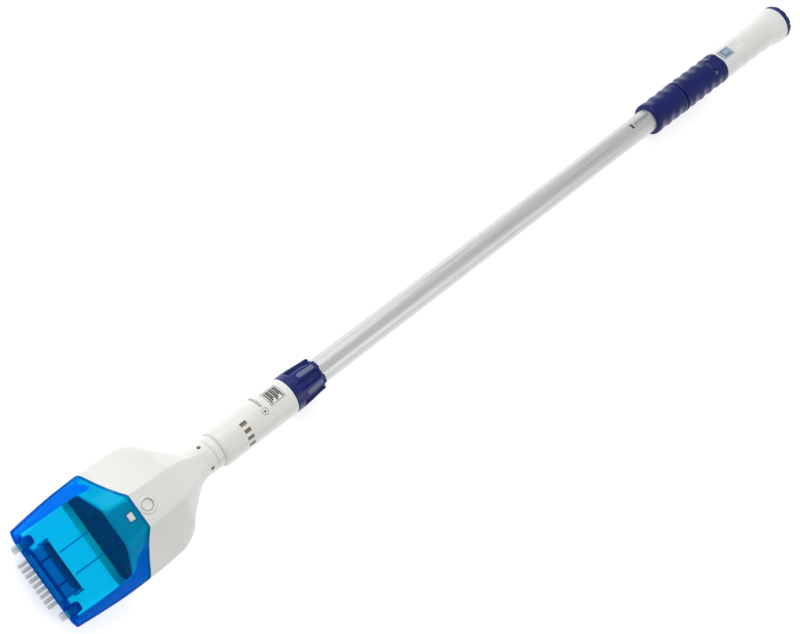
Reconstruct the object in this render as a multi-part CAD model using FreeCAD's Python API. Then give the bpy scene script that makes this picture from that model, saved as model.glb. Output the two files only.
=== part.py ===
"""Cordless hand-held pool and spa vacuum on an aluminium pole.

A wedge-shaped suction head carries a clear debris cup with a brush, two small wheels and a check flap.
Behind it a barrel holds the motor and the impeller, and a clamp collar grips the pole.
The pole ends in a handle with the battery, a push switch and a screw cap.

Working frame: x runs along the pole from the head to the end cap, +y is the head's left side, +z leaves the
head's top, and the pole's axis is y = z = 0. The cup's front edge is at NOSE_X. Every solid is moved to the row
frame at export: origin at the centre of the underside of the whole object's box. Units are millimetres.
"""

import FreeCAD
import Part
import math
import os

from FreeCAD import Vector

# ---------------------------------------------------------------- driving dimensions
# Stations along the pole
NECK_START = 203.0
SCREW_X = 208.1
NECK_END = 217.0
BARREL_START = 226.0
BARREL_END = 329.0
COLLAR_START = 329.4
COLLAR_END = 374.0
POLE_END = 1070.0
BAY_START = 1074.0
SLEEVE_START = 961.3
SLEEVE_END = 1020.5
GRIP_START = 1022.0
GRIP_END = 1106.0
FLARE_START = 1204.0
HANDLE_END = 1233.0
CAP_END = 1243.5

# Radii
POLE_R = 15.0
POLE_WALL = 1.5
FIT_R = 15.08
NECK_R = 18.5
BARREL_R = 22.0
BARREL_BORE_R = 19.4
SPIGOT_R = 15.9
EYE_R = 12.6
GRIP_R = 20.6
CORE_R = 18.2
HANDLE_R = 20.4
FLARE_R = 24.2
BAY_R = 16.2
HOLDER_R = 10.9

# Head shell
WALL = 2.4
BODY_WALL = 2.6
CUP_GAP = 0.3
SPIGOT_INSET = 4.8
LIP_START = 66.0
NOSE_X = -5.5
NOSE_Z = 12.6
FRONT_RAKE = 30.0
PARTING_X = 85.8
PARTING_SLOPE = 0.674

# Clocking about the pole, in degrees: positive turns +z towards -y
HANDLE_CLOCK = -30.0
VENT_FIRST = -14.0
VENT_PITCH = 22.4
VENTS_PER_SIDE = 4

# Cup fittings
TUFT_COUNT = 9
TUFT_PITCH = 6.1
TUFT_R = 1.9
TUFT_LENGTH = 14.5
WHEEL_Y = 40.0
WHEEL_R = 9.0
WHEEL_WIDTH = 7.0
THROAT_HALF = 29.0
THROAT_TOP = 0.6
THROAT_BOTTOM = -13.4
FLAP_X = 24.2
THROAT_END = 22.6
WELL_END = 13.5

# Switch and release button
SWITCH_X = 1119.5
CHARGER_X = 1220.2
CELL_LENGTH = 65.6
FACET_R = 18.8
FACET_END = 1150.0
BUTTON_X = 118.5
BUTTON_R = 5.9
WINDOW_X = 98.7

# Row frame: the box runs from the tuft tips to the end cap, and its base is the head's floor
FLOOR_Z = -FLARE_R

OUT = "parts"
os.makedirs(OUT, exist_ok=True)

X_AXIS = Vector(1, 0, 0)
Y_AXIS = Vector(0, 1, 0)
Z_AXIS = Vector(0, 0, 1)
ORIGIN = Vector(0, 0, 0)

# The front wall's own axes: "down" runs down the raked wall, "out" leaves it
RAKE = math.radians(FRONT_RAKE)
DOWN = Vector(math.sin(RAKE), 0, -math.cos(RAKE))
OUTWARD = Vector(-math.cos(RAKE), 0, -math.sin(RAKE))
NOSE = Vector(NOSE_X, 0, NOSE_Z)
TUFT_DOWN = 9.0
TUFT_TIP_X = (NOSE + DOWN * TUFT_DOWN + OUTWARD * TUFT_LENGTH).x - TUFT_R * math.sin(RAKE)
ROW_SHIFT = Vector(-(TUFT_TIP_X + CAP_END) / 2, 0, -FLOOR_Z)


# ---------------------------------------------------------------- helpers
def save(name, shape):
    """Moves a sub-part to the row frame and writes its STEP file."""
    moved = shape.copy()
    moved.translate(ROW_SHIFT)
    moved.exportStep(os.path.join(OUT, name + ".step"))
    print(f"{name:20s} solids {len(shape.Solids):2d}  valid {shape.isValid()}  volume {shape.Volume:10.1f}")


def rod(radius, x0, x1, y=0.0, z=0.0):
    return Part.makeCylinder(radius, x1 - x0, Vector(x0, y, z), X_AXIS)


def tube(outer, inner, x0, x1):
    return rod(outer, x0, x1).cut(rod(inner, x0 - 1, x1 + 1))


def box(x0, x1, y0, y1, z0, z1):
    return Part.makeBox(x1 - x0, y1 - y0, z1 - z0, Vector(x0, y0, z0))


def turned(shape, degrees):
    """A copy turned about the pole's axis."""
    copy = shape.copy()
    copy.rotate(ORIGIN, X_AXIS, degrees)
    return copy


def revolved(points):
    """A solid of revolution about the pole from (x, radius) corners."""
    corners = [Vector(x, r, 0) for x, r in points]
    face = Part.Face(Part.makePolygon(corners + corners[:1]))
    return face.revolve(ORIGIN, X_AXIS, 360)


def side_prism(points, half_width=80.0):
    """A prism across the head from (x, z) corners."""
    corners = [Vector(x, -half_width, z) for x, z in points]
    face = Part.Face(Part.makePolygon(corners + corners[:1]))
    return face.extrude(Vector(0, 2 * half_width, 0))


def raked_box(down0, down1, out0, out1, half_width):
    """A box square to the raked front wall, centred across the head."""
    corners = []
    for down, out in ((down0, out0), (down1, out0), (down1, out1), (down0, out1)):
        corners.append(NOSE + DOWN * down + OUTWARD * out - Y_AXIS * half_width)
    face = Part.Face(Part.makePolygon(corners + corners[:1]))
    return face.extrude(Y_AXIS * (2 * half_width))


def fused(shapes):
    result = shapes[0].multiFuse(shapes[1:]) if len(shapes) > 1 else shapes[0]
    return result.removeSplitter()


def group(shapes):
    """Several separate solids in one node."""
    return Part.makeCompound(shapes)


def coil(radius, half_wire, pitch, height, base, lean=0.0):
    """A square-wire helical spring that stands on base along +z, tipped by lean degrees about the y axis."""
    helix = Part.makeHelix(pitch, height, radius)
    corners = []
    for along, up in ((-1, -1), (1, -1), (1, 1), (-1, 1)):
        corners.append(Vector(radius + along * half_wire, 0, up * half_wire))
    section = Part.makePolygon(corners + corners[:1])
    spring = Part.Wire(helix.Edges).makePipeShell([section], True, True)
    spring.rotate(ORIGIN, Y_AXIS, lean)
    spring.translate(base)
    return spring


# ---------------------------------------------------------------- head skin
# Corner pairs (y, z) of the head's section at each station, from the ridge down to the floor
SECTIONS = [
    (-5.5, [(22, 12.6), (37, 12.4), (49, 11.4), (56.5, 4), (56.5, -9), (48, -21.4)]),
    (30.0, [(22, 19.3), (37, 18.9), (49, 17.6), (60.6, 4.5), (60.2, -11), (49, -23)]),
    (62.0, [(21.5, 25.2), (37, 23.9), (49.5, 20.6), (63.2, 4.5), (62.3, -12), (50, FLOOR_Z)]),
    (100.0, [(19.5, 32.2), (35, 21.8), (47, 13.8), (64.3, 4), (62.6, -13), (49.5, FLOOR_Z)]),
    (135.0, [(18.5, 37.8), (33.5, 26), (48, 15), (62.8, 4), (60.5, -13), (46, FLOOR_Z)]),
    (155.0, [(17.5, 36.4), (31, 25.5), (46.5, 14.5), (55, 3.5), (52, -13), (38, -23.4)]),
    (165.0, [(16, 33.6), (26.5, 23.6), (38, 14), (44, 3), (40, -12), (28, -22.4)]),
    (178.0, [(14, 28.6), (21.5, 20.6), (28.5, 12), (31.4, 1.5), (28, -11), (17.5, -20.5)]),
    (191.0, [(10.5, 22.2), (16, 16.2), (20.4, 9), (22.3, 0), (19.6, -10.5), (12, -18.6)]),
    (205.0, [(6.9, 17.1), (13.1, 13), (16.8, 7.7), (18.4, 0), (15.9, -9.2), (9.2, -15.9)]),
]


def inset_corners(corners, inset):
    """Corners of the closed polygon moved inwards by inset, edge by edge."""
    count = len(corners)
    moved = []
    for i in range(count):
        before, here, after = corners[i - 1], corners[i], corners[(i + 1) % count]
        lines = []
        for start, end in ((before, here), (here, after)):
            run = (end[0] - start[0], end[1] - start[1])
            length = math.hypot(*run)
            normal = (run[1] / length, -run[0] / length)
            lines.append((normal, normal[0] * here[0] + normal[1] * here[1] + inset))
        (n0, c0), (n1, c1) = lines
        det = n0[0] * n1[1] - n0[1] * n1[0]
        if abs(det) < 1e-3:
            moved.append((here[0] + n0[0] * inset, here[1] + n0[1] * inset))
        else:
            moved.append(((c0 * n1[1] - c1 * n0[1]) / det, (n0[0] * c1 - n1[0] * c0) / det))
    return moved


def head_solid(inset):
    """The head's skin as a solid, moved inwards by inset."""
    wires = []
    for x, half in SECTIONS:
        corners = half + [(-y, z) for y, z in reversed(half)]
        points = [Vector(x, y, z) for y, z in inset_corners(corners, inset)]
        wires.append(Part.makePolygon(points + points[:1]))
    return Part.makeLoft(wires, True, True)


def parting_prism(inset):
    """The outline at the parting, moved inwards by inset, drawn out straight along the cup's slide."""
    half = dict(SECTIONS)[100.0]
    corners = half + [(-y, z) for y, z in reversed(half)]
    points = [Vector(50, y, z) for y, z in inset_corners(corners, inset + 0.06)]
    return Part.Face(Part.makePolygon(points + points[:1])).extrude(Vector(60, 0, 0))


def parting(z, offset=0.0):
    """x of the plane between the cup and the body at height z."""
    return PARTING_X + PARTING_SLOPE * z + offset


def rake_x(z, offset=0.0):
    """x of the raked front wall's outer face at height z, moved along the pole by offset."""
    return NOSE_X + (NOSE_Z - z) * math.tan(RAKE) + offset


LOW, HIGH = -45.0, 60.0
OUTER = head_solid(0.0)
CUP_INNER = head_solid(WALL)
BODY_INNER = head_solid(BODY_WALL)
FRONT_STEP = WALL / math.cos(RAKE)


# ---------------------------------------------------------------- debris cup and what rides on it
WHEEL_CENTRE = NOSE + DOWN * 14.0 + OUTWARD * 1.0


def wheel_well(y):
    """Outer and inner shapes of one wheel's pocket."""
    outer = box(-13, WELL_END, y - 5.5, y + 5.5, -12.5, 11.8)
    rear = [e for e in outer.Edges if abs(e.CenterOfMass.x - WELL_END) < 0.01]
    edges = [e for e in rear if abs(e.tangentAt(0).z) > 0.7]
    outer = outer.makeFillet(4.0, edges)
    inner = box(-14, WELL_END - 1.5, y - 4.1, y + 4.1, -11.0, 10.0)
    return outer, inner


def debris_cup():
    shell_zone = side_prism(
        [(rake_x(LOW), LOW), (parting(LOW), LOW), (parting(HIGH), HIGH), (rake_x(HIGH), HIGH)]
    )
    cavity_zone = side_prism(
        [(rake_x(LOW, FRONT_STEP), LOW), (150, LOW), (150, HIGH), (rake_x(HIGH, FRONT_STEP), HIGH)]
    )
    skin = OUTER.common(shell_zone)
    cup = skin.cut(CUP_INNER.common(cavity_zone))
    for y in (WHEEL_Y, -WHEEL_Y):
        outer, inner = wheel_well(y)
        cup = cup.fuse(outer.common(skin)).cut(inner)
        cup = cup.cut(Part.makeCylinder(1.55, 14, Vector(WHEEL_CENTRE.x, y - 7, WHEEL_CENTRE.z), Y_AXIS))
    # Two thin guide ribs hang from the cup's roof behind the flap
    for y in (13.2, -13.2):
        rib = box(FLAP_X + 2.0, 74, y - 0.6, y + 0.6, 10, 40).common(CUP_INNER)
        lower = side_prism([(20, -5), (80, -5), (80, 22.5), (20, 14.0)])
        cup = cup.fuse(rib.cut(lower))
    # Openings: brush slot, intake throat and latch window
    cup = cup.cut(raked_box(6.0, 12.0, -3.2, 1.0, 32.0))
    cup = cup.cut(box(-10, 19, -THROAT_HALF, THROAT_HALF, THROAT_BOTTOM, THROAT_TOP))
    cup = cup.cut(box(WINDOW_X - 3.6, WINDOW_X + 3.6, -4.8, 4.8, 20, 45))
    return cup.removeSplitter()


def intake_throat():
    """Rectangular duct from the front wall to the flap, with two guide vanes and the flap's ears."""
    front = side_prism([(rake_x(LOW), LOW), (60, LOW), (60, HIGH), (rake_x(HIGH), HIGH)])
    duct = box(-6, THROAT_END, -THROAT_HALF, THROAT_HALF, THROAT_BOTTOM, THROAT_TOP)
    inside = THROAT_HALF - 1.6
    hollow = box(-7, THROAT_END + 1, -inside, inside, THROAT_BOTTOM + 1.6, THROAT_TOP - 1.6)
    duct = duct.cut(hollow)
    for y in (14.5, -14.5):
        vane = box(THROAT_END - 15.6, THROAT_END, y - 0.9, y + 0.9, THROAT_BOTTOM + 0.5, THROAT_TOP - 0.5)
        duct = duct.fuse(vane)
    ears = []
    for y in (30.2, -30.2):
        ear = box(FLAP_X - 7.2, FLAP_X + 2.4, y - 1.2, y + 1.2, THROAT_TOP - 5, THROAT_TOP + 5.2)
        ears.append(ear.cut(Part.makeCylinder(1.0, 6, Vector(FLAP_X, y - 3, THROAT_TOP + 2.6), Y_AXIS)))
    return fused([duct.common(front)] + ears)


def intake_flap():
    """Soft check flap that hangs from its pin and closes the throat's inner end."""
    height = THROAT_TOP - THROAT_BOTTOM + 1.2
    half = THROAT_HALF - 0.6
    plate = box(FLAP_X - 1.0, FLAP_X + 0.8, -half, half, THROAT_TOP - height, THROAT_TOP + 2.6)
    corners = [e for e in plate.Edges if abs(e.tangentAt(0).x) > 0.5 and e.CenterOfMass.z < 0]
    plate = plate.makeFillet(5.5, corners)
    knuckle = Part.makeCylinder(2.2, 2 * half, Vector(FLAP_X, -half, THROAT_TOP + 2.6), Y_AXIS)
    bore = Part.makeCylinder(1.05, 80, Vector(FLAP_X, -40, THROAT_TOP + 2.6), Y_AXIS)
    return fused([plate, knuckle]).cut(bore)


def flap_pin():
    return Part.makeCylinder(1.0, 62.8, Vector(FLAP_X, -31.4, THROAT_TOP + 2.6), Y_AXIS)


def brush_bar():
    return raked_box(6.0, 12.0, -7.5, 0.6, 32.0)


def brush_tufts():
    tufts = []
    for i in range(TUFT_COUNT):
        y = (i - (TUFT_COUNT - 1) / 2) * TUFT_PITCH
        root = NOSE + DOWN * TUFT_DOWN + OUTWARD * 0.6 + Y_AXIS * y
        tufts.append(Part.makeCylinder(TUFT_R, TUFT_LENGTH - 0.6, root, OUTWARD))
    return group(tufts)


def wheel(y):
    half = WHEEL_WIDTH / 2
    start = Vector(WHEEL_CENTRE.x, y - half, WHEEL_CENTRE.z)
    body = Part.makeCylinder(WHEEL_R, WHEEL_WIDTH, start, Y_AXIS)
    body = body.makeFillet(1.2, body.Edges)
    middle = Vector(start.x, y - 0.6, start.z)
    groove = Part.makeCylinder(WHEEL_R + 1, 1.2, middle, Y_AXIS)
    body = body.cut(groove.cut(Part.makeCylinder(WHEEL_R - 0.8, 1.2, middle, Y_AXIS)))
    return body.cut(Part.makeCylinder(1.6, 20, Vector(start.x, y - 10, start.z), Y_AXIS))


def wheel_axles():
    pins = []
    for y in (WHEEL_Y, -WHEEL_Y):
        pins.append(Part.makeCylinder(1.5, 10.6, Vector(WHEEL_CENTRE.x, y - 5.3, WHEEL_CENTRE.z), Y_AXIS))
    return group(pins)


# ---------------------------------------------------------------- white head body
BOSSES = [(128.0, 38.0), (128.0, -38.0), (168.0, 19.0), (168.0, -19.0)]
NECK_SCREW_TURNS = (45.0, 135.0, 225.0, 315.0)


def sliding_solid(inset):
    """The head's skin, kept within its outline at the parting so that the cup slides off over it."""
    return head_solid(inset).common(parting_prism(inset))


def head_shell():
    """The whole white head before it is split into its two covers."""
    body_zone = side_prism([(parting(LOW), LOW), (250, LOW), (250, HIGH), (parting(HIGH), HIGH)])
    shell = OUTER.common(body_zone).cut(BODY_INNER)
    ring_zone = side_prism(
        [(parting(LOW), LOW), (parting(LOW, 9), LOW), (parting(HIGH, 9), HIGH), (parting(HIGH), HIGH)]
    )
    ring = head_solid(1.4).common(ring_zone).cut(head_solid(SPIGOT_INSET))
    root_zone = side_prism(
        [(parting(LOW), LOW), (parting(LOW, 4), LOW), (parting(HIGH, 4), HIGH), (parting(HIGH), HIGH)]
    )
    root = head_solid(WALL + CUP_GAP).common(root_zone).cut(head_solid(SPIGOT_INSET))
    lip_zone = side_prism(
        [
            (LIP_START, -28),
            (parting(-28), -28),
            (parting(HIGH), HIGH),
            (LIP_START + 0.6 * HIGH, HIGH),
            (LIP_START, 0),
        ]
    )
    lip = sliding_solid(WALL + CUP_GAP).common(lip_zone).cut(sliding_solid(SPIGOT_INSET))
    neck = tube(NECK_R, SPIGOT_R + 0.15, NECK_START, NECK_END)
    shell = fused([shell, ring, root, lip, neck])
    return shell.cut(rod(SPIGOT_R + 0.15, 198.5, 230))


def neck_screw_holes():
    holes = []
    for turn in NECK_SCREW_TURNS:
        shank = Part.makeCylinder(1.6, 30, Vector(SCREW_X, 0, 0), Z_AXIS)
        recess = Part.makeCylinder(2.35, 10, Vector(SCREW_X, 0, 16.9), Z_AXIS)
        holes.append(turned(shank.fuse(recess), turn))
    return holes


def button_well():
    """Round dish and bore for the release button."""
    dish = Part.makeCone(8.0, 9.6, 3.0, Vector(BUTTON_X, 0, 34.6), Z_AXIS)
    bore = Part.makeCylinder(BUTTON_R + 0.35, 30, Vector(BUTTON_X, 0, 20), Z_AXIS)
    return dish.fuse(bore)


def tongue_slot():
    return box(WINDOW_X - 3.6, WINDOW_X + 3.6, -4.8, 4.8, 20, 45)


def covers():
    """Top and bottom covers, split at the pole's axis, with their screw bosses."""
    shell = head_shell()
    top = shell.common(box(0, 260, -80, 80, 0, 60))
    bottom = shell.common(box(0, 260, -80, 80, -60, 0))
    for x, y in BOSSES:
        post = Part.makeCylinder(3.6, 60, Vector(x, y, 0), Z_AXIS).common(BODY_INNER)
        top = top.fuse(post).cut(Part.makeCylinder(1.2, 12, Vector(x, y, -1), Z_AXIS))
        foot = Part.makeCylinder(4.6, 60, Vector(x, y, -60), Z_AXIS).common(BODY_INNER)
        bottom = bottom.fuse(foot)
        bottom = bottom.cut(Part.makeCylinder(1.7, 60, Vector(x, y, -60), Z_AXIS))
        bottom = bottom.cut(Part.makeCylinder(3.2, 48, Vector(x, y, -56), Z_AXIS))
    top = top.fuse(Part.makeCylinder(BUTTON_R + 2.2, 12, Vector(BUTTON_X, 0, 26.4), Z_AXIS).common(OUTER))
    top = top.cut(button_well()).cut(tongue_slot())
    for hole in neck_screw_holes():
        top = top.cut(hole)
        bottom = bottom.cut(hole)
    return top.removeSplitter(), bottom.removeSplitter()


def head_screws():
    """Four long case screws with their heads in the floor's counterbores."""
    screws = []
    for x, y in BOSSES:
        head = Part.makeCylinder(2.9, 2.2, Vector(x, y, -10.2), Z_AXIS)
        drive = Part.makeBox(3.6, 0.8, 1.0, Vector(x - 1.8, y - 0.4, -10.3))
        shank = Part.makeCylinder(1.15, 18.5, Vector(x, y, -8.1), Z_AXIS)
        screws.append(head.fuse(shank).cut(drive))
    return group(screws)


def neck_screws():
    screws = []
    for turn in NECK_SCREW_TURNS:
        head = Part.makeCylinder(2.1, 1.1, Vector(SCREW_X, 0, 16.95), Z_AXIS)
        drive = Part.makeBox(0.7, 2.8, 0.7, Vector(SCREW_X - 0.35, -1.4, 17.6))
        shank = Part.makeCylinder(1.2, 3.6, Vector(SCREW_X, 0, 13.4), Z_AXIS)
        screws.append(turned(head.fuse(shank).cut(drive), turn))
    return group(screws)


FILTER_OFFSET = -12.0


def filter_slab(inset, depth0, depth1):
    zone = side_prism(
        [
            (parting(LOW, FILTER_OFFSET + depth0), LOW),
            (parting(LOW, FILTER_OFFSET + depth1), LOW),
            (parting(HIGH, FILTER_OFFSET + depth1), HIGH),
            (parting(HIGH, FILTER_OFFSET + depth0), HIGH),
        ]
    )
    # The button's tongue passes in front of the frame's top edge
    return head_solid(inset).common(zone).cut(box(60, 130, -7, 7, 20.2, 60))


def filter_frame():
    """Frame that clips inside the body's mouth, with two bars across it."""
    rim = filter_slab(SPIGOT_INSET, 12, 17).cut(head_solid(SPIGOT_INSET + 3.0))
    bars = []
    for y in (18.0, -18.0):
        strip = box(0, 200, y - 1.2, y + 1.2, LOW, HIGH)
        bars.append(filter_slab(SPIGOT_INSET + 1.0, 12, 14.5).common(strip))
    return fused([rim] + bars)


def filter_screen():
    """Fine mesh panel, kept as a thin closed sheet that rests against the frame's bars."""
    return filter_slab(SPIGOT_INSET + 3.0, 14.5, 15.5)


# ---------------------------------------------------------------- release button and latch
def release_button():
    """Round button with the lever that carries the latch tongue."""
    cap = Part.makeCylinder(BUTTON_R, 13.0, Vector(BUTTON_X, 0, 23.6), Z_AXIS)
    top_edge = [e for e in cap.Edges if abs(e.CenterOfMass.z - 36.6) < 0.01]
    cap = cap.makeFillet(0.8, top_edge)
    lever = box(WINDOW_X - 3.0, BUTTON_X, -3.6, 3.6, 23.6, 25.8)
    return fused([cap, lever])


def latch_tongue():
    """Wedge on the lever's front end that fills the cup's window and snaps over its rear bar."""
    profile = [
        (WINDOW_X - 3.0, 25.8),
        (WINDOW_X + 3.0, 25.8),
        (WINDOW_X + 3.0, 32.4),
        (WINDOW_X - 2.2, 30.2),
        (WINDOW_X - 3.0, 29.0),
    ]
    return side_prism(profile, 4.2)


def release_spring():
    return coil(3.4, 0.36, 2.5, 7.5, Vector(BUTTON_X, 0, 15.5))


def spring_bridge():
    """Bridge under the button that its spring stands on, screwed inside the top cover."""
    plate = box(BUTTON_X - 6, BUTTON_X + 6, -34.0, 34.0, 12.6, 15.0)
    stem = Part.makeCylinder(2.6, 4.0, Vector(BUTTON_X, 0, 14.9), Z_AXIS)
    legs = []
    for y in (31.5, -31.5):
        leg = box(BUTTON_X - 4, BUTTON_X + 4, y - 2, y + 2, 14, 40).common(head_solid(BODY_WALL + 0.02))
        legs.append(leg)
    return fused([plate, stem] + legs)


# ---------------------------------------------------------------- motor barrel
def motor_barrel():
    profile = [
        (199.0, EYE_R),
        (199.0, SPIGOT_R),
        (NECK_END, SPIGOT_R),
        (NECK_END, NECK_R),
        (BARREL_START, NECK_R),
        (BARREL_START, BARREL_R - 2.0),
        (BARREL_START + 2.6, BARREL_R),
        (BARREL_END, BARREL_R),
        (BARREL_END, BARREL_BORE_R),
        (236.0, BARREL_BORE_R),
        (236.0, EYE_R),
    ]
    barrel = revolved(profile)
    for side in (0.0, 180.0):
        for i in range(VENTS_PER_SIDE):
            vent = box(256.5, 265.2, -2.35, 2.35, 15, 30)
            barrel = barrel.cut(turned(vent, VENT_FIRST + side + i * VENT_PITCH))
    for turn in NECK_SCREW_TURNS:
        pilot = Part.makeCylinder(1.3, 10, Vector(SCREW_X, 0, 10), Z_AXIS)
        barrel = barrel.cut(turned(pilot, turn))
    return barrel


def impeller():
    """Eight-blade centrifugal wheel that throws water out through the vents."""
    hub = revolved([(249, 1.6), (249, 3.4), (252, 4.6), (264, 6.0), (264, 17.6), (265.6, 17.6), (265.6, 1.6)])
    blades = []
    for i in range(8):
        blade = box(253, 264.5, -0.7, 0.7, 3.5, 17.4)
        blade.rotate(Vector(0, 0, 4.5), X_AXIS, 28)
        keep = tube(17.4, 3.5, 253, 264.5)
        blades.append(turned(blade.common(keep), i * 45.0))
    return fused([hub] + blades)


def impeller_shaft():
    return rod(1.55, 249.4, 282.0)


def motor_mount():
    plate = rod(BARREL_BORE_R - 0.1, 268.0, 272.0).cut(rod(3.3, 260, 280))
    for y in (8.0, -8.0):
        plate = plate.cut(rod(1.5, 260, 280, y))
    return plate


def shaft_seal():
    return tube(3.3, 1.65, 268.2, 271.8)


def motor_can():
    can = rod(13.9, 272.0, 307.0)
    can = can.makeFillet(1.5, [e for e in can.Edges if e.CenterOfMass.x > 300 and e.Length > 50])
    can = can.cut(rod(1.75, 270, 284))
    for y in (8.0, -8.0):
        can = can.cut(rod(1.45, 270, 278, y))
    return can


def motor_screws():
    screws = []
    for y in (8.0, -8.0):
        screws.append(rod(2.6, 266.6, 268.0, y).fuse(rod(1.4, 268.0, 277.0, y)))
    return group(screws)


def motor_end_bell():
    bell = rod(11.5, 307.0, 309.4)
    tabs = [box(309.0, 311.6, y - 1.5, y + 1.5, -0.3, 0.3) for y in (6.5, -6.5)]
    return fused([bell] + tabs)


def pole_socket():
    """Bush in the barrel's end with the spigot that the collar screws onto."""
    return revolved(
        [
            (313.0, 13.0),
            (313.0, BARREL_BORE_R - 0.05),
            (BARREL_END, BARREL_BORE_R - 0.05),
            (BARREL_END, 17.8),
            (348.5, 17.8),
            (348.5, FIT_R),
            (317.0, FIT_R),
            (317.0, 13.0),
        ]
    )


# ---------------------------------------------------------------- clamp collar
def pole_collet():
    """Split ring that the collar's cone squeezes onto the pole."""
    ring = revolved([(349.5, FIT_R), (349.5, 17.6), (357.0, 17.6), (366.0, 15.9), (366.0, FIT_R)])
    return ring.cut(box(345, 370, -0.9, 0.9, 10, 20))


def pole_seal():
    return tube(17.2, FIT_R, 370.3, 372.7)


LAND_COUNT = 6
LAND_FIRST = 25.6 + 5.0


def collar_nut():
    """Six-land clamp nut: a plain skirt, then flutes that run out at the pole's end."""
    body = revolved(
        [
            (COLLAR_START, 18.1),
            (COLLAR_START, BARREL_R),
            (334.0, BARREL_R),
            (338.0, BARREL_R - 0.2),
            (COLLAR_END - 1.0, 20.3),
            (COLLAR_END, 19.4),
            (COLLAR_END, 15.5),
            (373.0, 15.5),
            (373.0, 17.4),
            (370.0, 17.4),
            (370.0, 16.0),
            (367.0, 16.4),
            (358.0, 18.1),
        ]
    )
    for i in range(LAND_COUNT):
        angle = LAND_FIRST + (i + 0.5) * 360.0 / LAND_COUNT
        flute = box(341.0, COLLAR_END + 1, -4.6, 4.6, 0, 10)
        flute = flute.fuse(Part.makeCylinder(4.6, 10, Vector(341.0, 0, 0), Z_AXIS))
        flute.translate(Vector(0, 0, 20.1))
        flute.rotate(Vector(341.0, 0, 20.1), Y_AXIS, 2.2)
        body = body.cut(turned(flute, angle))
    return body


# ---------------------------------------------------------------- pole and handle
RIPPLE_PITCH = 17.2
RIPPLE_DEPTH = 0.8


def rubber_sleeve(x0, x1, inner, rounded_rear):
    """Rubber sleeve with soft rings. Its front end is rounded, and its rear end is rounded or square."""
    front_flat = 3.5
    rear_flat = front_flat if rounded_rear else 0.0
    length = x1 - x0 - front_flat - rear_flat
    steps = int(round(length / RIPPLE_PITCH * 8))
    points = []
    for i in range(steps + 1):
        x = x0 + front_flat + length * i / steps
        ripple = math.cos(2 * math.pi * (x - x0 - RIPPLE_PITCH / 2) / RIPPLE_PITCH)
        points.append(Vector(x, GRIP_R + RIPPLE_DEPTH / 2 * (ripple - 1), 0))
    crown = Part.BSplineCurve()
    crown.interpolate(points)
    first, last = points[0], points[-1]
    front = Part.Arc(Vector(x0, first.y - 3.0, 0), Vector(x0 + 0.9, first.y - 0.9, 0), first).toShape()
    edges = [front, crown.toShape()]
    corner = last
    if rounded_rear:
        corner = Vector(x1, last.y - 3.0, 0)
        edges.append(Part.Arc(last, Vector(x1 - 0.9, last.y - 0.9, 0), corner).toShape())
    bore = [Vector(x1, inner, 0), Vector(x0, inner, 0), Vector(x0, first.y - 3.0, 0)]
    edges += Part.makePolygon([corner] + bore).Edges
    return Part.Face(Part.Wire(Part.__sortEdges__(edges))).revolve(ORIGIN, X_AXIS, 360)


def lock_sleeve():
    """Twist sleeve at the handle's lower end."""
    return rubber_sleeve(SLEEVE_START, SLEEVE_END, FIT_R, True)


def facet_cutter():
    """Removes the crown above the switch's flat, with a rounded end."""
    flat = box(GRIP_END, FACET_END - 9.4, -20, 20, FACET_R, 40)
    end = Part.makeCylinder(9.4, 20, Vector(FACET_END - 9.4, 0, FACET_R), Z_AXIS)
    return turned(flat.fuse(end), HANDLE_CLOCK)


def upper_grip():
    """Rubber grip moulded over the handle's core, ending square at the white tube."""
    return rubber_sleeve(GRIP_START, GRIP_END, CORE_R, False)


def handle_body():
    """White handle tube: pole socket, battery bay and the flared end."""
    profile = [
        (GRIP_START, POLE_R),
        (GRIP_START, CORE_R),
        (GRIP_END, CORE_R),
        (GRIP_END, HANDLE_R),
        (FLARE_START, HANDLE_R),
        (1218.0, 21.2),
        (1226.0, 22.8),
        (1230.0, FLARE_R),
        (HANDLE_END, FLARE_R),
        (HANDLE_END, 21.6),
        (1231.0, 21.6),
        (1231.0, 19.0),
        (1222.0, 19.0),
        (1222.0, BAY_R),
        (BAY_START, BAY_R),
        (BAY_START, 3.0),
        (POLE_END, 3.0),
        (POLE_END, POLE_R),
    ]
    body = revolved(profile).cut(facet_cutter())
    pocket = box(SWITCH_X - 9.0, SWITCH_X + 9.0, -5.6, 5.6, 10, 30)
    return body.cut(turned(pocket, HANDLE_CLOCK))


def pole_tube():
    return tube(POLE_R, POLE_R - POLE_WALL, 317.2, POLE_END)


def power_lead():
    return rod(2.2, 312.2, BAY_START)


def switch_frame():
    """Bezel that stands on the flat around the push pad."""
    frame = box(SWITCH_X - 10.4, SWITCH_X + 10.4, -7.1, 7.1, FACET_R, FACET_R + 1.4)
    frame = frame.makeChamfer(0.9, [e for e in frame.Edges if e.CenterOfMass.z > FACET_R + 1.3])
    opening = box(SWITCH_X - 6.0, SWITCH_X + 6.0, -5.3, 5.3, 10, 30)
    return turned(frame.cut(opening), HANDLE_CLOCK)


def switch_button():
    pad = box(SWITCH_X - 5.6, SWITCH_X + 5.6, -4.9, 4.9, 15.6, FACET_R + 2.9)
    pad = pad.makeFillet(0.7, [e for e in pad.Edges if e.CenterOfMass.z > FACET_R + 2.8])
    return turned(pad, HANDLE_CLOCK)


def switch_module():
    """Sealed switch under the pad, seated on the battery tube."""
    case = box(SWITCH_X - 8.0, SWITCH_X + 8.0, -5.0, 5.0, 9.0, 13.4)
    return turned(case, HANDLE_CLOCK).cut(rod(HOLDER_R, SWITCH_X - 20, SWITCH_X + 20))


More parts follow.
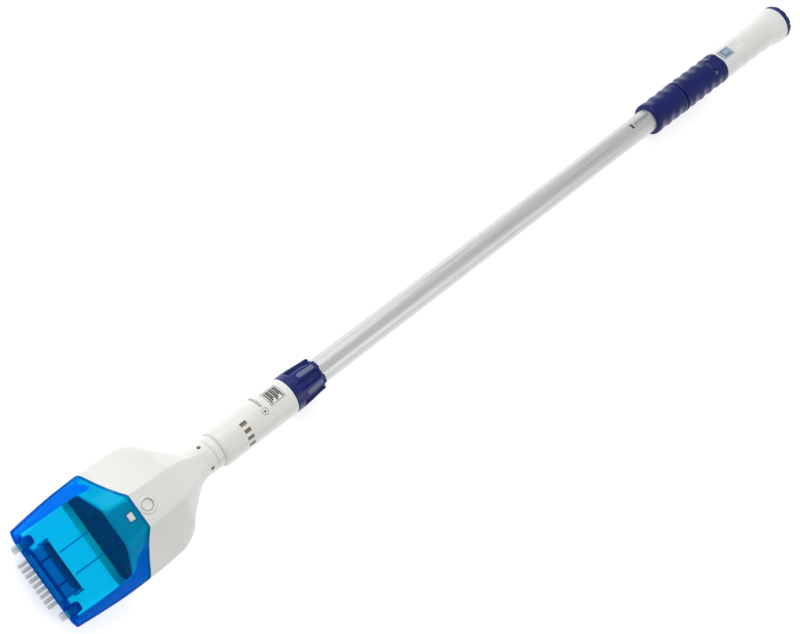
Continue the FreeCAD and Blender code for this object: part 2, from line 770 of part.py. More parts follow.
def battery_holder():
    """Tube with four fins that keeps the cells on the axis."""
    holder = tube(HOLDER_R, 9.4, 1086.0, CHARGER_X)
    fins = []
    for i in range(4):
        fin = box(1138.0, 1216.0, -0.8, 0.8, HOLDER_R - 0.3, BAY_R - 0.05)
        fins.append(turned(fin, HANDLE_CLOCK + 45.0 + 90.0 * i))
    return fused([holder] + fins)


def battery_cells():
    """Two round cells end to end, each with its small positive button."""
    cells = []
    for i in (1, 2):
        x = CHARGER_X - i * CELL_LENGTH
        shoulder = x + CELL_LENGTH - 1.6
        cells.append(rod(9.2, x, shoulder).fuse(rod(3.0, shoulder, x + CELL_LENGTH)))
    return group(cells)


def contact_spring():
    """Battery spring between the contact plate and the first cell."""
    free = CHARGER_X - 2 * CELL_LENGTH - (BAY_START + 1.0)
    return coil(5.2, 0.45, free / 3.5, free - 1.0, Vector(BAY_START + 1.5, 0, 0), 90.0)


def contact_plate():
    return rod(14.0, BAY_START, BAY_START + 1.0)


def charge_socket():
    """Round charging jack under the end cap."""
    flange = tube(BAY_R - 0.05, 4.0, CHARGER_X, CHARGER_X + 1.6)
    sleeve = tube(5.2, 4.0, CHARGER_X, 1229.0)
    pin = rod(1.0, CHARGER_X, 1227.5)
    floor = rod(4.2, CHARGER_X, CHARGER_X + 0.8)
    return fused([flange, sleeve, pin, floor])


def cap_seal():
    return tube(21.3, 19.3, 1231.2, HANDLE_END)


def end_cap():
    """Screw cap: slightly domed lid with grip notches and a spigot that enters the handle."""
    profile = [
        (1224.6, 16.6),
        (1224.6, 18.7),
        (HANDLE_END + 0.1, 18.7),
        (HANDLE_END + 0.1, FLARE_R - 0.5),
        (CAP_END - 3.0, FLARE_R - 0.6),
        (CAP_END - 1.2, FLARE_R - 2.0),
        (CAP_END, 14.0),
        (CAP_END, 0.0),
        (CAP_END - 5.0, 0.0),
        (CAP_END - 5.0, 16.6),
    ]
    corners = [Vector(x, r, 0) for x, r in profile]
    cap = Part.Face(Part.makePolygon(corners + corners[:1])).revolve(ORIGIN, X_AXIS, 360)
    for i in range(12):
        notch = rod(1.3, HANDLE_END + 1.5, CAP_END + 1, 0, FLARE_R + 0.3)
        cap = cap.cut(turned(notch, i * 30.0))
    return cap


# ---------------------------------------------------------------- write every sub-part
TOP_COVER, BOTTOM_COVER = covers()
SUBPARTS = {
    "debris_cup": debris_cup(),
    "intake_throat": intake_throat(),
    "intake_flap": intake_flap(),
    "flap_pin": flap_pin(),
    "brush_bar": brush_bar(),
    "brush_tufts": brush_tufts(),
    "wheel_left": wheel(WHEEL_Y),
    "wheel_right": wheel(-WHEEL_Y),
    "wheel_axles": wheel_axles(),
    "head_top_cover": TOP_COVER,
    "head_bottom_cover": BOTTOM_COVER,
    "head_screws": head_screws(),
    "neck_screws": neck_screws(),
    "filter_frame": filter_frame(),
    "filter_screen": filter_screen(),
    "release_button": release_button(),
    "latch_tongue": latch_tongue(),
    "release_spring": release_spring(),
    "spring_bridge": spring_bridge(),
    "motor_barrel": motor_barrel(),
    "impeller": impeller(),
    "impeller_shaft": impeller_shaft(),
    "motor_mount": motor_mount(),
    "shaft_seal": shaft_seal(),
    "motor_can": motor_can(),
    "motor_screws": motor_screws(),
    "motor_end_bell": motor_end_bell(),
    "pole_socket": pole_socket(),
    "pole_collet": pole_collet(),
    "pole_seal": pole_seal(),
    "collar_nut": collar_nut(),
    "pole_tube": pole_tube(),
    "power_lead": power_lead(),
    "lock_sleeve": lock_sleeve(),
    "upper_grip": upper_grip(),
    "handle_body": handle_body(),
    "switch_frame": switch_frame(),
    "switch_button": switch_button(),
    "switch_module": switch_module(),
    "battery_holder": battery_holder(),
    "battery_cells": battery_cells(),
    "contact_spring": contact_spring(),
    "contact_plate": contact_plate(),
    "charge_socket": charge_socket(),
    "cap_seal": cap_seal(),
    "end_cap": end_cap(),
}

for node, solid in SUBPARTS.items():
    save(node, solid)
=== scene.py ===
"""Looks of the hand-held pool vacuum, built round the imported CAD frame.

Stations along the pole (x) are in millimetres from the cup's front edge, and y and z from the pole's axis.
at() turns them into metres in the row frame, by way of the end cap's and the pole's own boxes.
"""

import math
import random

import bmesh
import bpy
from mathutils import Matrix, Vector


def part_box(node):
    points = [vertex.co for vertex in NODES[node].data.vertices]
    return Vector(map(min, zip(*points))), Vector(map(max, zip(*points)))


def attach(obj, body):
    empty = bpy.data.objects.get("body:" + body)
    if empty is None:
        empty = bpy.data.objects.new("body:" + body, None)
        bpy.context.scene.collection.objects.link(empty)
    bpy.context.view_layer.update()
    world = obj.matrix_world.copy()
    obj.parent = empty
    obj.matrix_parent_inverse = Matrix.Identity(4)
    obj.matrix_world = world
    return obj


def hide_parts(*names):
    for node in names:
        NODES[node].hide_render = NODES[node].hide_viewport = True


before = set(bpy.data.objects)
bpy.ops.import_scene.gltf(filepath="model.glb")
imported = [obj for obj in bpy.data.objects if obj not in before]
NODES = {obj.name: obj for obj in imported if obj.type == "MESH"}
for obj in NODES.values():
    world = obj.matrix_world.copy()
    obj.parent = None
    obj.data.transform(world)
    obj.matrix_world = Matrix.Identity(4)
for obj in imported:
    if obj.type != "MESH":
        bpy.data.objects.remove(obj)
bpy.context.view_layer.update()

MM = 0.001
CAP_STATION = 1243.5
PARTING_STATION = 100.0
RIDGE_TOP = 37.8
END_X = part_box("end_cap")[1].x
AXIS_Z = (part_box("pole_tube")[0].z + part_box("pole_tube")[1].z) / 2
random.seed(7)

# ---------------------------------------------------------------- driving dimensions, as on the CAD part
WALL = 2.4
NOSE_X, NOSE_Z = -5.5, 12.6
THROAT_END, WELL_END, FLAP_X = 22.6, 13.5, 24.2
RAKE = math.radians(30.0)
PARTING_X, PARTING_SLOPE = 85.8, 0.674
FLOOR_Z = -24.2
BUTTON_X, BUTTON_R = 118.5, 5.9
WINDOW_X = 98.7
WHEEL_Y = 40.0
TUFT_COUNT, TUFT_PITCH, TUFT_R, TUFT_LENGTH, TUFT_DOWN = 9, 6.1, 1.9, 14.5, 9.0
THROAT_HALF, THROAT_TOP, THROAT_BOTTOM = 29.0, 0.6, -13.4
LIP_START, LIP_SLOPE, LIP_INSET, SPIGOT_INSET = 66.0, 0.6, 2.8, 4.8
SCREW_X, SCREW_TURNS = 208.1, (45.0, 135.0, 225.0, 315.0)
BARREL_R, POLE_R, INK_DEPTH = 22.0, 15.0, 0.06
COLLAR_START, COLLAR_END = 329.4, 374.0
SLEEVE_START, SLEEVE_END, GRIP_START, GRIP_END = 961.3, 1020.5, 1022.0, 1106.0
HANDLE_END, GRIP_R, CORE_R, HANDLE_R = 1233.0, 20.6, 18.2, 20.4
SWITCH_X, FACET_R, FACET_END = 1119.5, 18.8, 1150.0
HANDLE_CLOCK = -30.0
SIDES = ((1, "left"), (-1, "right"))
BOSSES = [(128.0, 38.0), (128.0, -38.0), (168.0, 19.0), (168.0, -19.0)]

SECTIONS = [
    (-5.5, [(22, 12.6), (37, 12.4), (49, 11.4), (56.5, 4), (56.5, -9), (48, -21.4)]),
    (30.0, [(22, 19.3), (37, 18.9), (49, 17.6), (60.6, 4.5), (60.2, -11), (49, -23)]),
    (62.0, [(21.5, 25.2), (37, 23.9), (49.5, 20.6), (63.2, 4.5), (62.3, -12), (50, FLOOR_Z)]),
    (100.0, [(19.5, 32.2), (35, 21.8), (47, 13.8), (64.3, 4), (62.6, -13), (49.5, FLOOR_Z)]),
    (135.0, [(18.5, 37.8), (33.5, 26), (48, 15), (62.8, 4), (60.5, -13), (46, FLOOR_Z)]),
    (155.0, [(17.5, 36.4), (31, 25.5), (46.5, 14.5), (55, 3.5), (52, -13), (38, -23.4)]),
    (165.0, [(16, 33.6), (26.5, 23.6), (38, 14), (44, 3), (40, -12), (28, -22.4)]),
    (178.0, [(14, 28.6), (21.5, 20.6), (28.5, 12), (31.4, 1.5), (28, -11), (17.5, -20.5)]),
    (191.0, [(10.5, 22.2), (16, 16.2), (20.4, 9), (22.3, 0), (19.6, -10.5), (12, -18.6)]),
    (205.0, [(6.9, 17.1), (13.1, 13), (16.8, 7.7), (18.4, 0), (15.9, -9.2), (9.2, -15.9)]),
]


def at(x, y=0.0, z=0.0):
    """Row-frame point in metres of a station, y and z in millimetres."""
    return Vector((END_X - (CAP_STATION - x) * MM, y * MM, AXIS_Z + z * MM))


def radial(degrees):
    """Direction away from the pole: 0 is straight up, and positive turns towards -y."""
    return Vector((0, -math.sin(math.radians(degrees)), math.cos(math.radians(degrees))))


def polar(x, radius, degrees):
    """Row-frame point in metres at a radius about the pole, by angle as in radial()."""
    a = math.radians(degrees)
    return at(x, -radius * math.sin(a), radius * math.cos(a))


# ---------------------------------------------------------------- materials
def material(name, colour, rough=0.4, metal=0.0, **sockets):
    """A Principled material. Extra sockets are given with underscores for spaces."""
    mat = bpy.data.materials.new(name)
    mat.use_nodes = True
    shader = mat.node_tree.nodes["Principled BSDF"]
    shader.inputs["Base Color"].default_value = (*colour, 1.0)
    shader.inputs["Roughness"].default_value = rough
    shader.inputs["Metallic"].default_value = metal
    for key, value in sockets.items():
        shader.inputs[key.replace("_", " ")].default_value = value
    return mat


def node(mat, kind, **values):
    new = mat.node_tree.nodes.new(kind)
    for key, value in values.items():
        if key in new.inputs:
            new.inputs[key].default_value = value
        else:
            setattr(new, key, value)
    return new


def link(mat, source, target):
    mat.node_tree.links.new(source, target)


def shader_of(mat):
    return mat.node_tree.nodes["Principled BSDF"]


def drive(mat, socket, source):
    """Links a source to a socket of the Principled shader."""
    link(mat, source, shader_of(mat).inputs[socket])


def stretched_noise(mat, scale, stretch=(1, 1, 1), detail=3.0):
    """Noise in object space in metres, drawn out by stretch. Returns its factor."""
    place = node(mat, "ShaderNodeTexCoord")
    mapping = node(mat, "ShaderNodeMapping")
    mapping.inputs["Scale"].default_value = stretch
    noise = node(mat, "ShaderNodeTexNoise", Scale=scale, Detail=detail)
    link(mat, place.outputs["Object"], mapping.inputs["Vector"])
    link(mat, mapping.outputs["Vector"], noise.inputs["Vector"])
    return noise.outputs["Fac"]


def ramp(mat, source, low, high, low_colour, high_colour):
    """Colour ramp between two positions."""
    new = node(mat, "ShaderNodeValToRGB")
    for element, position, colour in zip(new.color_ramp.elements, (low, high), (low_colour, high_colour)):
        element.position = position
        element.color = (*colour, 1)
    link(mat, source, new.inputs["Fac"])
    return new.outputs["Color"]


def ranged(mat, source, low, high):
    """Source remapped from 0.3..0.7 to low..high."""
    new = node(mat, "ShaderNodeMapRange", **{"From Min": 0.3, "From Max": 0.7, "To Min": low, "To Max": high})
    link(mat, source, new.inputs["Value"])
    return new.outputs["Result"]


def bump(mat, source, distance, strength=0.5):
    new = node(mat, "ShaderNodeBump", Strength=strength, Distance=distance)
    link(mat, source, new.inputs["Height"])
    drive(mat, "Normal", new.outputs["Normal"])


def moulded(name, colour, rough=0.35, grain=900.0, depth=0.00006, shade=0.93, **sockets):
    """Moulded plastic or rubber: faint cloudy colour, uneven gloss and a fine spark-eroded grain."""
    mat = material(name, colour, rough, **sockets)
    cloud = stretched_noise(mat, 14.0, detail=4.0)
    darker = tuple(c * shade for c in colour)
    drive(mat, "Base Color", ramp(mat, cloud, 0.35, 0.68, darker, colour))
    drive(mat, "Roughness", ranged(mat, cloud, rough * 0.85, rough * 1.2))
    bump(mat, stretched_noise(mat, grain, detail=2.0), depth, 0.35)
    return mat


def clear_blue(name, tint, edge, body, body_share):
    """Clear blue polycarbonate: tinted and see-through, darker seen edge-on, with a gloss on top."""
    mat = material(name, body, 0.04, IOR=1.5)
    facing = node(mat, "ShaderNodeLayerWeight", Blend=0.3)
    see_through = node(mat, "ShaderNodeBsdfTransparent")
    link(mat, ramp(mat, facing.outputs["Facing"], 0.32, 0.98, tint, edge), see_through.inputs["Color"])
    fresnel = node(mat, "ShaderNodeFresnel", IOR=1.45)
    share = node(mat, "ShaderNodeMapRange", **{"To Min": body_share, "To Max": 1.0})
    link(mat, fresnel.outputs["Fac"], share.inputs["Value"])
    mix = node(mat, "ShaderNodeMixShader")
    link(mat, share.outputs["Result"], mix.inputs[0])
    link(mat, see_through.outputs["BSDF"], mix.inputs[1])
    link(mat, shader_of(mat).outputs["BSDF"], mix.inputs[2])
    link(mat, mix.outputs["Shader"], mat.node_tree.nodes["Material Output"].inputs["Surface"])
    bump(mat, stretched_noise(mat, 22.0, (0.5, 1, 1), 2.0), 0.0004, 0.12)
    return mat


def brushed(name, colour, rough, stretch, metal=1.0):
    """Drawn or turned metal with fine lines along the direction where stretch is small."""
    mat = material(name, colour, rough, metal)
    lines = stretched_noise(mat, 900.0, stretch, 4.0)
    darker = tuple(c * 0.86 for c in colour)
    drive(mat, "Base Color", ramp(mat, lines, 0.3, 0.72, darker, colour))
    drive(mat, "Roughness", ranged(mat, lines, rough * 0.8, rough * 1.3))
    bump(mat, lines, 0.00004, 0.25)
    return mat


WHITE = moulded("white_plastic", (0.73, 0.735, 0.705), 0.32, shade=0.97, Specular_IOR_Level=0.45)
HANDLE_WHITE = moulded("handle_white", (0.72, 0.725, 0.70), 0.36, shade=0.965)
NAVY = moulded("navy_plastic", (0.004, 0.011, 0.13), 0.28, shade=0.8, Specular_IOR_Level=0.34)
# Lighter navy: along the collar's lands it is a painted highlight that stands in for a reflection of a light;
# on the upper grip it colours the small raised arrow.
HIGHLIGHT_AND_MARK_NAVY = moulded("highlight_and_mark_navy", (0.11, 0.13, 0.215), 0.45, shade=0.85)
RUBBER = moulded("navy_rubber", (0.003, 0.010, 0.125), 0.30, 1400.0, 0.0001, 0.8, Specular_IOR_Level=0.26)
BLACK = moulded("black_plastic", (0.03, 0.03, 0.034), 0.45, shade=0.8)
SEAL = moulded("seal_rubber", (0.015, 0.015, 0.017), 0.6, shade=0.8)
GREY = moulded("wheel_plastic", (0.62, 0.64, 0.66), 0.42, shade=0.9)
PAD = moulded("switch_silicone", (0.34, 0.44, 0.51), 0.38, 700.0, shade=0.9, Subsurface_Weight=0.1)
PAD_DARK = moulded("switch_pad_silicone", (0.19, 0.28, 0.37), 0.34, 700.0, shade=0.88)
CLEAR = clear_blue("cup_polycarbonate", (0.24, 0.96, 1.0), (0.03, 0.22, 0.86), (0.0, 0.25, 0.9), 0.035)
CLEAR_DEEP = clear_blue(
    "throat_polycarbonate", (0.36, 0.80, 1.0), (0.02, 0.12, 0.72), (0.0, 0.12, 0.80), 0.08
)
FLAP = moulded("flap_rubber", (0.004, 0.010, 0.085), 0.5, shade=0.75)
STEEL = brushed("stainless_steel", (0.62, 0.62, 0.61), 0.28, (1, 1, 1))
DARK_STEEL = brushed("screw_steel", (0.30, 0.28, 0.25), 0.35, (1, 1, 1))
ALUMINIUM = brushed("drawn_aluminium", (0.66, 0.665, 0.67), 0.42, (0.012, 1, 1), 0.85)
BRASS = brushed("plated_contact", (0.78, 0.62, 0.33), 0.3, (1, 1, 1))
CAN = brushed("motor_can_steel", (0.55, 0.56, 0.57), 0.3, (1, 0.05, 0.05))
TAN = moulded("impeller_plastic", (0.36, 0.27, 0.19), 0.45, shade=0.8)
LEAD = moulded("lead_sheath", (0.02, 0.02, 0.022), 0.5, shade=0.8)
CELL = moulded("cell_film", (0.05, 0.28, 0.20), 0.22, shade=0.85)


def woven(name):
    """Fine filter mesh: two crossed waves darken the gaps."""
    mat = material(name, (0.09, 0.10, 0.12), 0.6)
    place = node(mat, "ShaderNodeTexCoord")
    waves = []
    for direction in ("Y", "Z"):
        wave = node(mat, "ShaderNodeTexWave", wave_type="BANDS", bands_direction=direction, Scale=420.0)
        link(mat, place.outputs["Object"], wave.inputs["Vector"])
        waves.append(wave.outputs["Fac"])
    both = node(mat, "ShaderNodeMath", operation="MULTIPLY")
    link(mat, waves[0], both.inputs[0])
    link(mat, waves[1], both.inputs[1])
    drive(mat, "Base Color", ramp(mat, both.outputs[0], 0.1, 0.5, (0.02, 0.022, 0.03), (0.10, 0.11, 0.14)))
    bump(mat, both.outputs[0], 0.0002, 0.5)
    return mat


MESH = woven("filter_mesh")
BRISTLE = moulded("bristle_nylon", (0.82, 0.82, 0.80), 0.4, shade=0.95, Subsurface_Weight=0.3)

# ---------------------------------------------------------------- mesh helpers
SMOOTH_ANGLE = math.radians(38)


def put(name, data):
    """A new object in the scene."""
    obj = bpy.data.objects.new(name, data)
    bpy.context.scene.collection.objects.link(obj)
    return obj


def paint(mesh, mat):
    mesh.materials.clear()
    mesh.materials.append(mat)


def shade_smooth(mesh, angle):
    """Smooth shading, except across edges that turn by more than the angle."""
    mesh.polygons.foreach_set("use_smooth", [True] * len(mesh.polygons))
    mesh.set_sharp_from_angle(angle=angle)


def piece(name, mesh, mat, body, replaces=(), angle=SMOOTH_ANGLE):
    """Puts a mesh into the scene as a piece that rides on a body."""
    obj = put(name, mesh)
    paint(mesh, mat)
    shade_smooth(mesh, angle)
    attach(obj, body)
    if replaces:
        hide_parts(*replaces)
    return obj


def mesh_from(bm, name):
    bmesh.ops.recalc_face_normals(bm, faces=bm.faces)
    mesh = bpy.data.meshes.new(name)
    bm.to_mesh(mesh)
    bm.free()
    return mesh


def bridge(bm, a, b):
    """Quads between two equal closed loops of vertices."""
    count = len(a)
    for k in range(count):
        n = (k + 1) % count
        bm.faces.new((a[k], a[n], b[n], b[k]))


def loft(bm, rings):
    """Quads between neighbouring rings of vertices, with a face on each end."""
    for a, b in zip(rings, rings[1:]):
        bridge(bm, a, b)
    bm.faces.new(rings[0])
    bm.faces.new(rings[-1])


def grid_mesh(name, rows, closed_rows=False, caps=False):
    """Quads over rows of points. Each row is a closed loop; rows may close on themselves, or be capped."""
    bm = bmesh.new()
    verts = [[bm.verts.new(p) for p in row] for row in rows]
    for i in range(len(rows) if closed_rows else len(rows) - 1):
        bridge(bm, verts[i], verts[(i + 1) % len(rows)])
    if caps:
        bm.faces.new(verts[0])
        bm.faces.new(verts[-1])
    return mesh_from(bm, name)


def box_mesh(name, x0, x1, y0, y1, z0, z1, bevel=0.0, turn=0.0, segments=3):
    """A box with rounded edges, turned about the pole's axis by turn degrees as the CAD part turns things."""
    bm = bmesh.new()
    bmesh.ops.create_cube(bm, size=1.0)
    ranges = ((x0, x1), (y0, y1), (z0, z1))
    for v in bm.verts:
        v.co = Vector([low if c < 0 else high for c, (low, high) in zip(v.co, ranges)])
    if bevel:
        bmesh.ops.bevel(bm, geom=bm.edges[:], offset=bevel, segments=segments, profile=0.5, affect="EDGES")
    for v in bm.verts:
        v.co = at(*turned(v.co, turn))
    return mesh_from(bm, name)


def round_rows(outline, count, place):
    """Rows of count points for (along, radius) pairs. place(along, sideways, upwards) sets each point."""
    rows = []
    for along, r in outline:
        angles = [2 * math.pi * k / count for k in range(count)]
        rows.append([place(along, r * math.sin(a), r * math.cos(a)) for a in angles])
    return rows


def turned(point, degrees):
    """A millimetre point turned about the pole's axis: positive carries +z towards -y."""
    c, s = math.cos(math.radians(degrees)), math.sin(math.radians(degrees))
    return point[0], point[1] * c - point[2] * s, point[1] * s + point[2] * c


def lathe_rows(profile, radius_at=None, count=96):
    """Rows of points for (x, r) stations. radius_at(x, r, degrees as in radial) may change each radius."""
    rows = []
    for x, r in profile:
        angles = [360.0 * k / count for k in range(count)]
        rows.append([polar(x, radius_at(x, r, d) if radius_at else r, d) for d in angles])
    return rows


def towards(start, end, reach, most):
    """A point up to reach along the way to another, and no further than a share of it."""
    way = end - start
    return start + way.normalized() * min(reach, way.length * most)


def bend(start, corner, end, steps):
    """Points of a short curve that rounds a corner off."""
    shares = [k / steps for k in range(steps + 1)]
    return [start * (1 - t) ** 2 + corner * 2 * t * (1 - t) + end * t**2 for t in shares]


def rounded_profile(points, steps=5):
    """(x, r, fillet) corners of a closed outline, with each fillet drawn as a short curve."""
    result = []
    for i, (x, r, fillet) in enumerate(points):
        if not fillet:
            result.append((x, r))
            continue
        here = Vector((x, r))
        before, after = Vector(points[i - 1][:2]), Vector(points[(i + 1) % len(points)][:2])
        start, end = towards(here, before, fillet, 0.49), towards(here, after, fillet, 0.49)
        result += [(p.x, p.y) for p in bend(start, here, end, steps)]
    return result


def lathe(name, points, count=96):
    """A closed ring of revolution about the pole's axis."""
    return grid_mesh(name, lathe_rows(rounded_profile(points), None, count), closed_rows=True)


def carve(obj, cutters, keep=False):
    """Cuts the cutter meshes out of a piece, exactly, and applies the result."""
    for cutter_mesh in cutters:
        cutter = put("cutter", cutter_mesh)
        mod = obj.modifiers.new("cut", "BOOLEAN")
        mod.operation = "INTERSECT" if keep else "DIFFERENCE"
        mod.solver = "EXACT"
        mod.object = cutter
        bpy.context.view_layer.update()
        apply_modifiers(obj)
        bpy.data.objects.remove(cutter)


def apply_modifiers(obj):
    graph = bpy.context.evaluated_depsgraph_get()
    baked = bpy.data.meshes.new_from_object(obj.evaluated_get(graph))
    old = obj.data
    obj.modifiers.clear()
    obj.data = baked
    bpy.data.meshes.remove(old)


def soften(obj, width, angle=30.0):
    """Small rounds on the sharp edges, with shading that keeps flat faces flat."""
    mod = obj.modifiers.new("edge_round", "BEVEL")
    mod.width = width * MM
    mod.segments = 2
    mod.limit_method = "ANGLE"
    mod.angle_limit = math.radians(angle)
    shade_smooth(obj.data, math.radians(50))


def cylinder_mesh(name, radius, start, direction, length, count=48, top_radius=None):
    """A capped cylinder or cone in row metres, from a start point in metres."""
    bm = bmesh.new()
    top = radius if top_radius is None else top_radius
    bmesh.ops.create_cone(
        bm, cap_ends=True, segments=count, radius1=radius * MM, radius2=top * MM, depth=length * MM
    )
    turn = Vector((0, 0, 1)).rotation_difference(direction).to_matrix().to_4x4()
    move = Matrix.Translation(start + direction.normalized() * (length * MM / 2))
    bmesh.ops.transform(bm, matrix=move @ turn, verts=bm.verts)
    return mesh_from(bm, name)


# ---------------------------------------------------------------- head skin
CORNER_POINTS = 6
EDGE_POINTS = 3
PLANE_STEPS = 12  # rounds of finding where a line of the skin meets a sloping plane


STATIONS = [x for x, _ in SECTIONS]


def slope(values, i):
    """Finite-difference slope for smooth interpolation through the stations."""
    spans = [k for k in (i - 1, i) if 0 <= k < len(values) - 1]
    steps = [(values[k + 1] - values[k]) / (STATIONS[k + 1] - STATIONS[k]) for k in spans]
    if len(steps) == 1:
        return steps[0]
    left, right = steps
    return 0.0 if left * right <= 0 else 2 * left * right / (left + right)


def smooth_value(values, x):
    """Monotone cubic through the stations' values."""
    x = min(max(x, STATIONS[0] - 6.0), STATIONS[-1])
    i = 0
    while i < len(STATIONS) - 2 and x > STATIONS[i + 1]:
        i += 1
    h = STATIONS[i + 1] - STATIONS[i]
    t = (x - STATIONS[i]) / h
    if t < 0:
        return values[0] + slope(values, 0) * (x - STATIONS[0])
    m0, m1 = slope(values, i) * h, slope(values, i + 1) * h
    t2, t3 = t * t, t * t * t
    a = values[i] * (2 * t3 - 3 * t2 + 1) + m0 * (t3 - 2 * t2 + t)
    return a + values[i + 1] * (-2 * t3 + 3 * t2) + m1 * (t3 - t2)


def section_corners(x, inset):
    """The section at a station, moved inwards by inset: right half from the ridge down, then mirrored."""
    half = []
    for k in range(6):
        y = smooth_value([corners[k][0] for _, corners in SECTIONS], x)
        z = smooth_value([corners[k][1] for _, corners in SECTIONS], x)
        half.append((y, z))
    corners = half + [(-y, z) for y, z in reversed(half)]
    if not inset:
        return [Vector(c) for c in corners]
    moved = []
    count = len(corners)
    for i in range(count):
        here = Vector(corners[i])
        before, after = Vector(corners[i - 1]), Vector(corners[(i + 1) % count])
        first = (here - before).normalized()
        second = (after - here).normalized()
        n0 = Vector((first.y, -first.x))
        n1 = Vector((second.y, -second.x))
        middle = (n0 + n1) / (1 + n0.dot(n1))
        moved.append(here + middle * inset)
    return moved


# How far each corner's round reaches along its edges, from the ridge down to the floor
ROUNDS = [1.8, 1.6, 2.4, 4.5, 5.0, 4.0]
MOST_ROUND = 0.46  # of an edge's length, so that the rounds at its two ends don't meet


def section_loop(x, inset=0.0):
    """Rounded section at a station as (y, z) points, always the same number of them."""
    corners = section_corners(x, inset)
    rounds = ROUNDS + ROUNDS[::-1]
    count = len(corners)
    loop = []
    for i in range(count):
        here, before, after = corners[i], corners[i - 1], corners[(i + 1) % count]
        start = towards(here, before, rounds[i], MOST_ROUND)
        end = towards(here, after, rounds[i], MOST_ROUND)
        loop += bend(start, here, end, CORNER_POINTS - 1)
        next_start = towards(after, here, rounds[(i + 1) % count], MOST_ROUND)
        for k in range(1, EDGE_POINTS + 1):
            loop.append(end.lerp(next_start, k / (EDGE_POINTS + 1)))
    return loop


def skin_rows(front, rear, inset, rows):
    """Rows from plane to plane. front and rear give a station for a height z."""
    count = len(section_loop(PARTING_STATION))
    ends = []
    for plane in (front, rear):
        found = []
        for k in range(count):
            x = plane(0.0)
            for _ in range(PLANE_STEPS):
                x = plane(section_loop(x, inset)[k].y)
            found.append(x)
        ends.append(found)
    result = []
    for i in range(rows + 1):
        t = i / rows
        row = []
        for k, (start, end) in enumerate(zip(*ends)):
            x = start * (1 - t) + end * t
            point = section_loop(x, inset)[k]
            row.append(at(x, point.x, min(point.y, RIDGE_TOP - inset)))
        result.append(row)
    return result


def front_plane(offset=0.0):
    return lambda z: NOSE_X + (NOSE_Z - z) * math.tan(RAKE) + offset


def parting_plane(offset=0.0):
    return lambda z: PARTING_X + PARTING_SLOPE * z + offset


def lip_plane(z):
    """Front edge of the lip that the cup slides over: straight across the floor, then raked back."""
    return LIP_START + LIP_SLOPE * max(z, 0.0)


def under_parting(rows, inset):
    """Lowers the rows to the outline at the parting, so that the cup slides off over them."""
    relief = 0.06
    loop = section_loop(PARTING_STATION, inset + relief)
    outline = sorted((abs(p.x), p.y) for p in loop if p.y > 0)
    for row in rows:
        for k, p in enumerate(row):
            if p.z > AXIS_Z:
                y = abs(p.y) / MM
                limit = outline[0][1]
                for (y0, z0), (y1, z1) in zip(outline, outline[1:]):
                    if y0 <= y <= y1 and y1 > y0:
                        limit = z0 + (z1 - z0) * (y - y0) / (y1 - y0)
                row[k] = Vector((p.x, p.y, min(p.z, AXIS_Z + limit * MM)))
    return rows


def flat_plane(x):
    return lambda z: x


def roof(x):
    """Height of the central facet at a station."""
    return smooth_value([corners[0][1] for _, corners in SECTIONS], x)


def window_cutter():
    """The latch window through the cup and the lip."""
    return box_mesh("window", WINDOW_X - 3.6, WINDOW_X + 3.6, -4.8, 4.8, 20, 45)


DOWN = Vector((math.sin(RAKE), 0, -math.cos(RAKE)))
OUT = Vector((-math.cos(RAKE), 0, -math.sin(RAKE)))


def on_wall(down, out, y=0.0):
    """Point in metres, measured down the raked front wall and out from it."""
    p = Vector((NOSE_X, 0, NOSE_Z)) + DOWN * down + OUT * out
    return at(p.x, y, p.z)


def raked_box(name, down0, down1, out0, out1, half, bevel=0.0):
    """A box square to the raked front wall, centred across the head."""
    bm = bmesh.new()
    bmesh.ops.create_cube(bm, size=1.0)
    for v in bm.verts:
        v.co = Vector((v.co.x * (down1 - down0), v.co.y * (out1 - out0), v.co.z * 2 * half))
    if bevel:
        bmesh.ops.bevel(bm, geom=bm.edges[:], offset=bevel, segments=2, profile=0.5, affect="EDGES")
    for v in bm.verts:
        v.co = on_wall((down0 + down1) / 2 + v.co.x, (out0 + out1) / 2 + v.co.y, v.co.z)
    return mesh_from(bm, name)


def build_cup():
    """Clear cup: outer and inner skins joined at the rear edge, with a raked front wall and its openings."""
    step = WALL / math.cos(RAKE)
    rows = skin_rows(front_plane(), parting_plane(), 0.0, 26)
    rows += skin_rows(front_plane(step), parting_plane(), WALL, 26)[::-1]
    mesh = grid_mesh("cup_shell", rows, caps=True)
    cup = piece("cup_shell", mesh, CLEAR, "cup", ["debris_cup"])
    cutters = [
        raked_box("slot", 6.0, 12.0, -3.2, 1.0, 32.0),
        box_mesh("mouth", -10, 19, -THROAT_HALF, THROAT_HALF, THROAT_BOTTOM, THROAT_TOP),
        window_cutter(),
    ]
    for side, _ in SIDES:
        y = side * WHEEL_Y
        cutters.append(box_mesh("well_hole", -14, WELL_END - 3.5, y - 4.1, y + 4.1, -11.0, 10.2))
    carve(cup, cutters)
    soften(cup, 0.5, 34.0)
    build_wells()
    build_guide_ribs()


def build_wells():
    """Pocket round each wheel, moulded into the front wall."""
    for side, word in SIDES:
        y = side * WHEEL_Y
        outer = box_mesh("well", -17, WELL_END, y - 5.5, y + 5.5, -12.5, 11.2, 3.0)
        well = piece(f"wheel_well_{word}", outer, CLEAR_DEEP, "cup")
        hollow = box_mesh("hollow", -18, WELL_END - 1.5, y - 4.1, y + 4.1, -11.0, 10.0, 1.6)
        carve(well, [hollow, raked_box("front", -40, 60, 0.02 - WALL, 60, 90)])
        soften(well, 0.3)


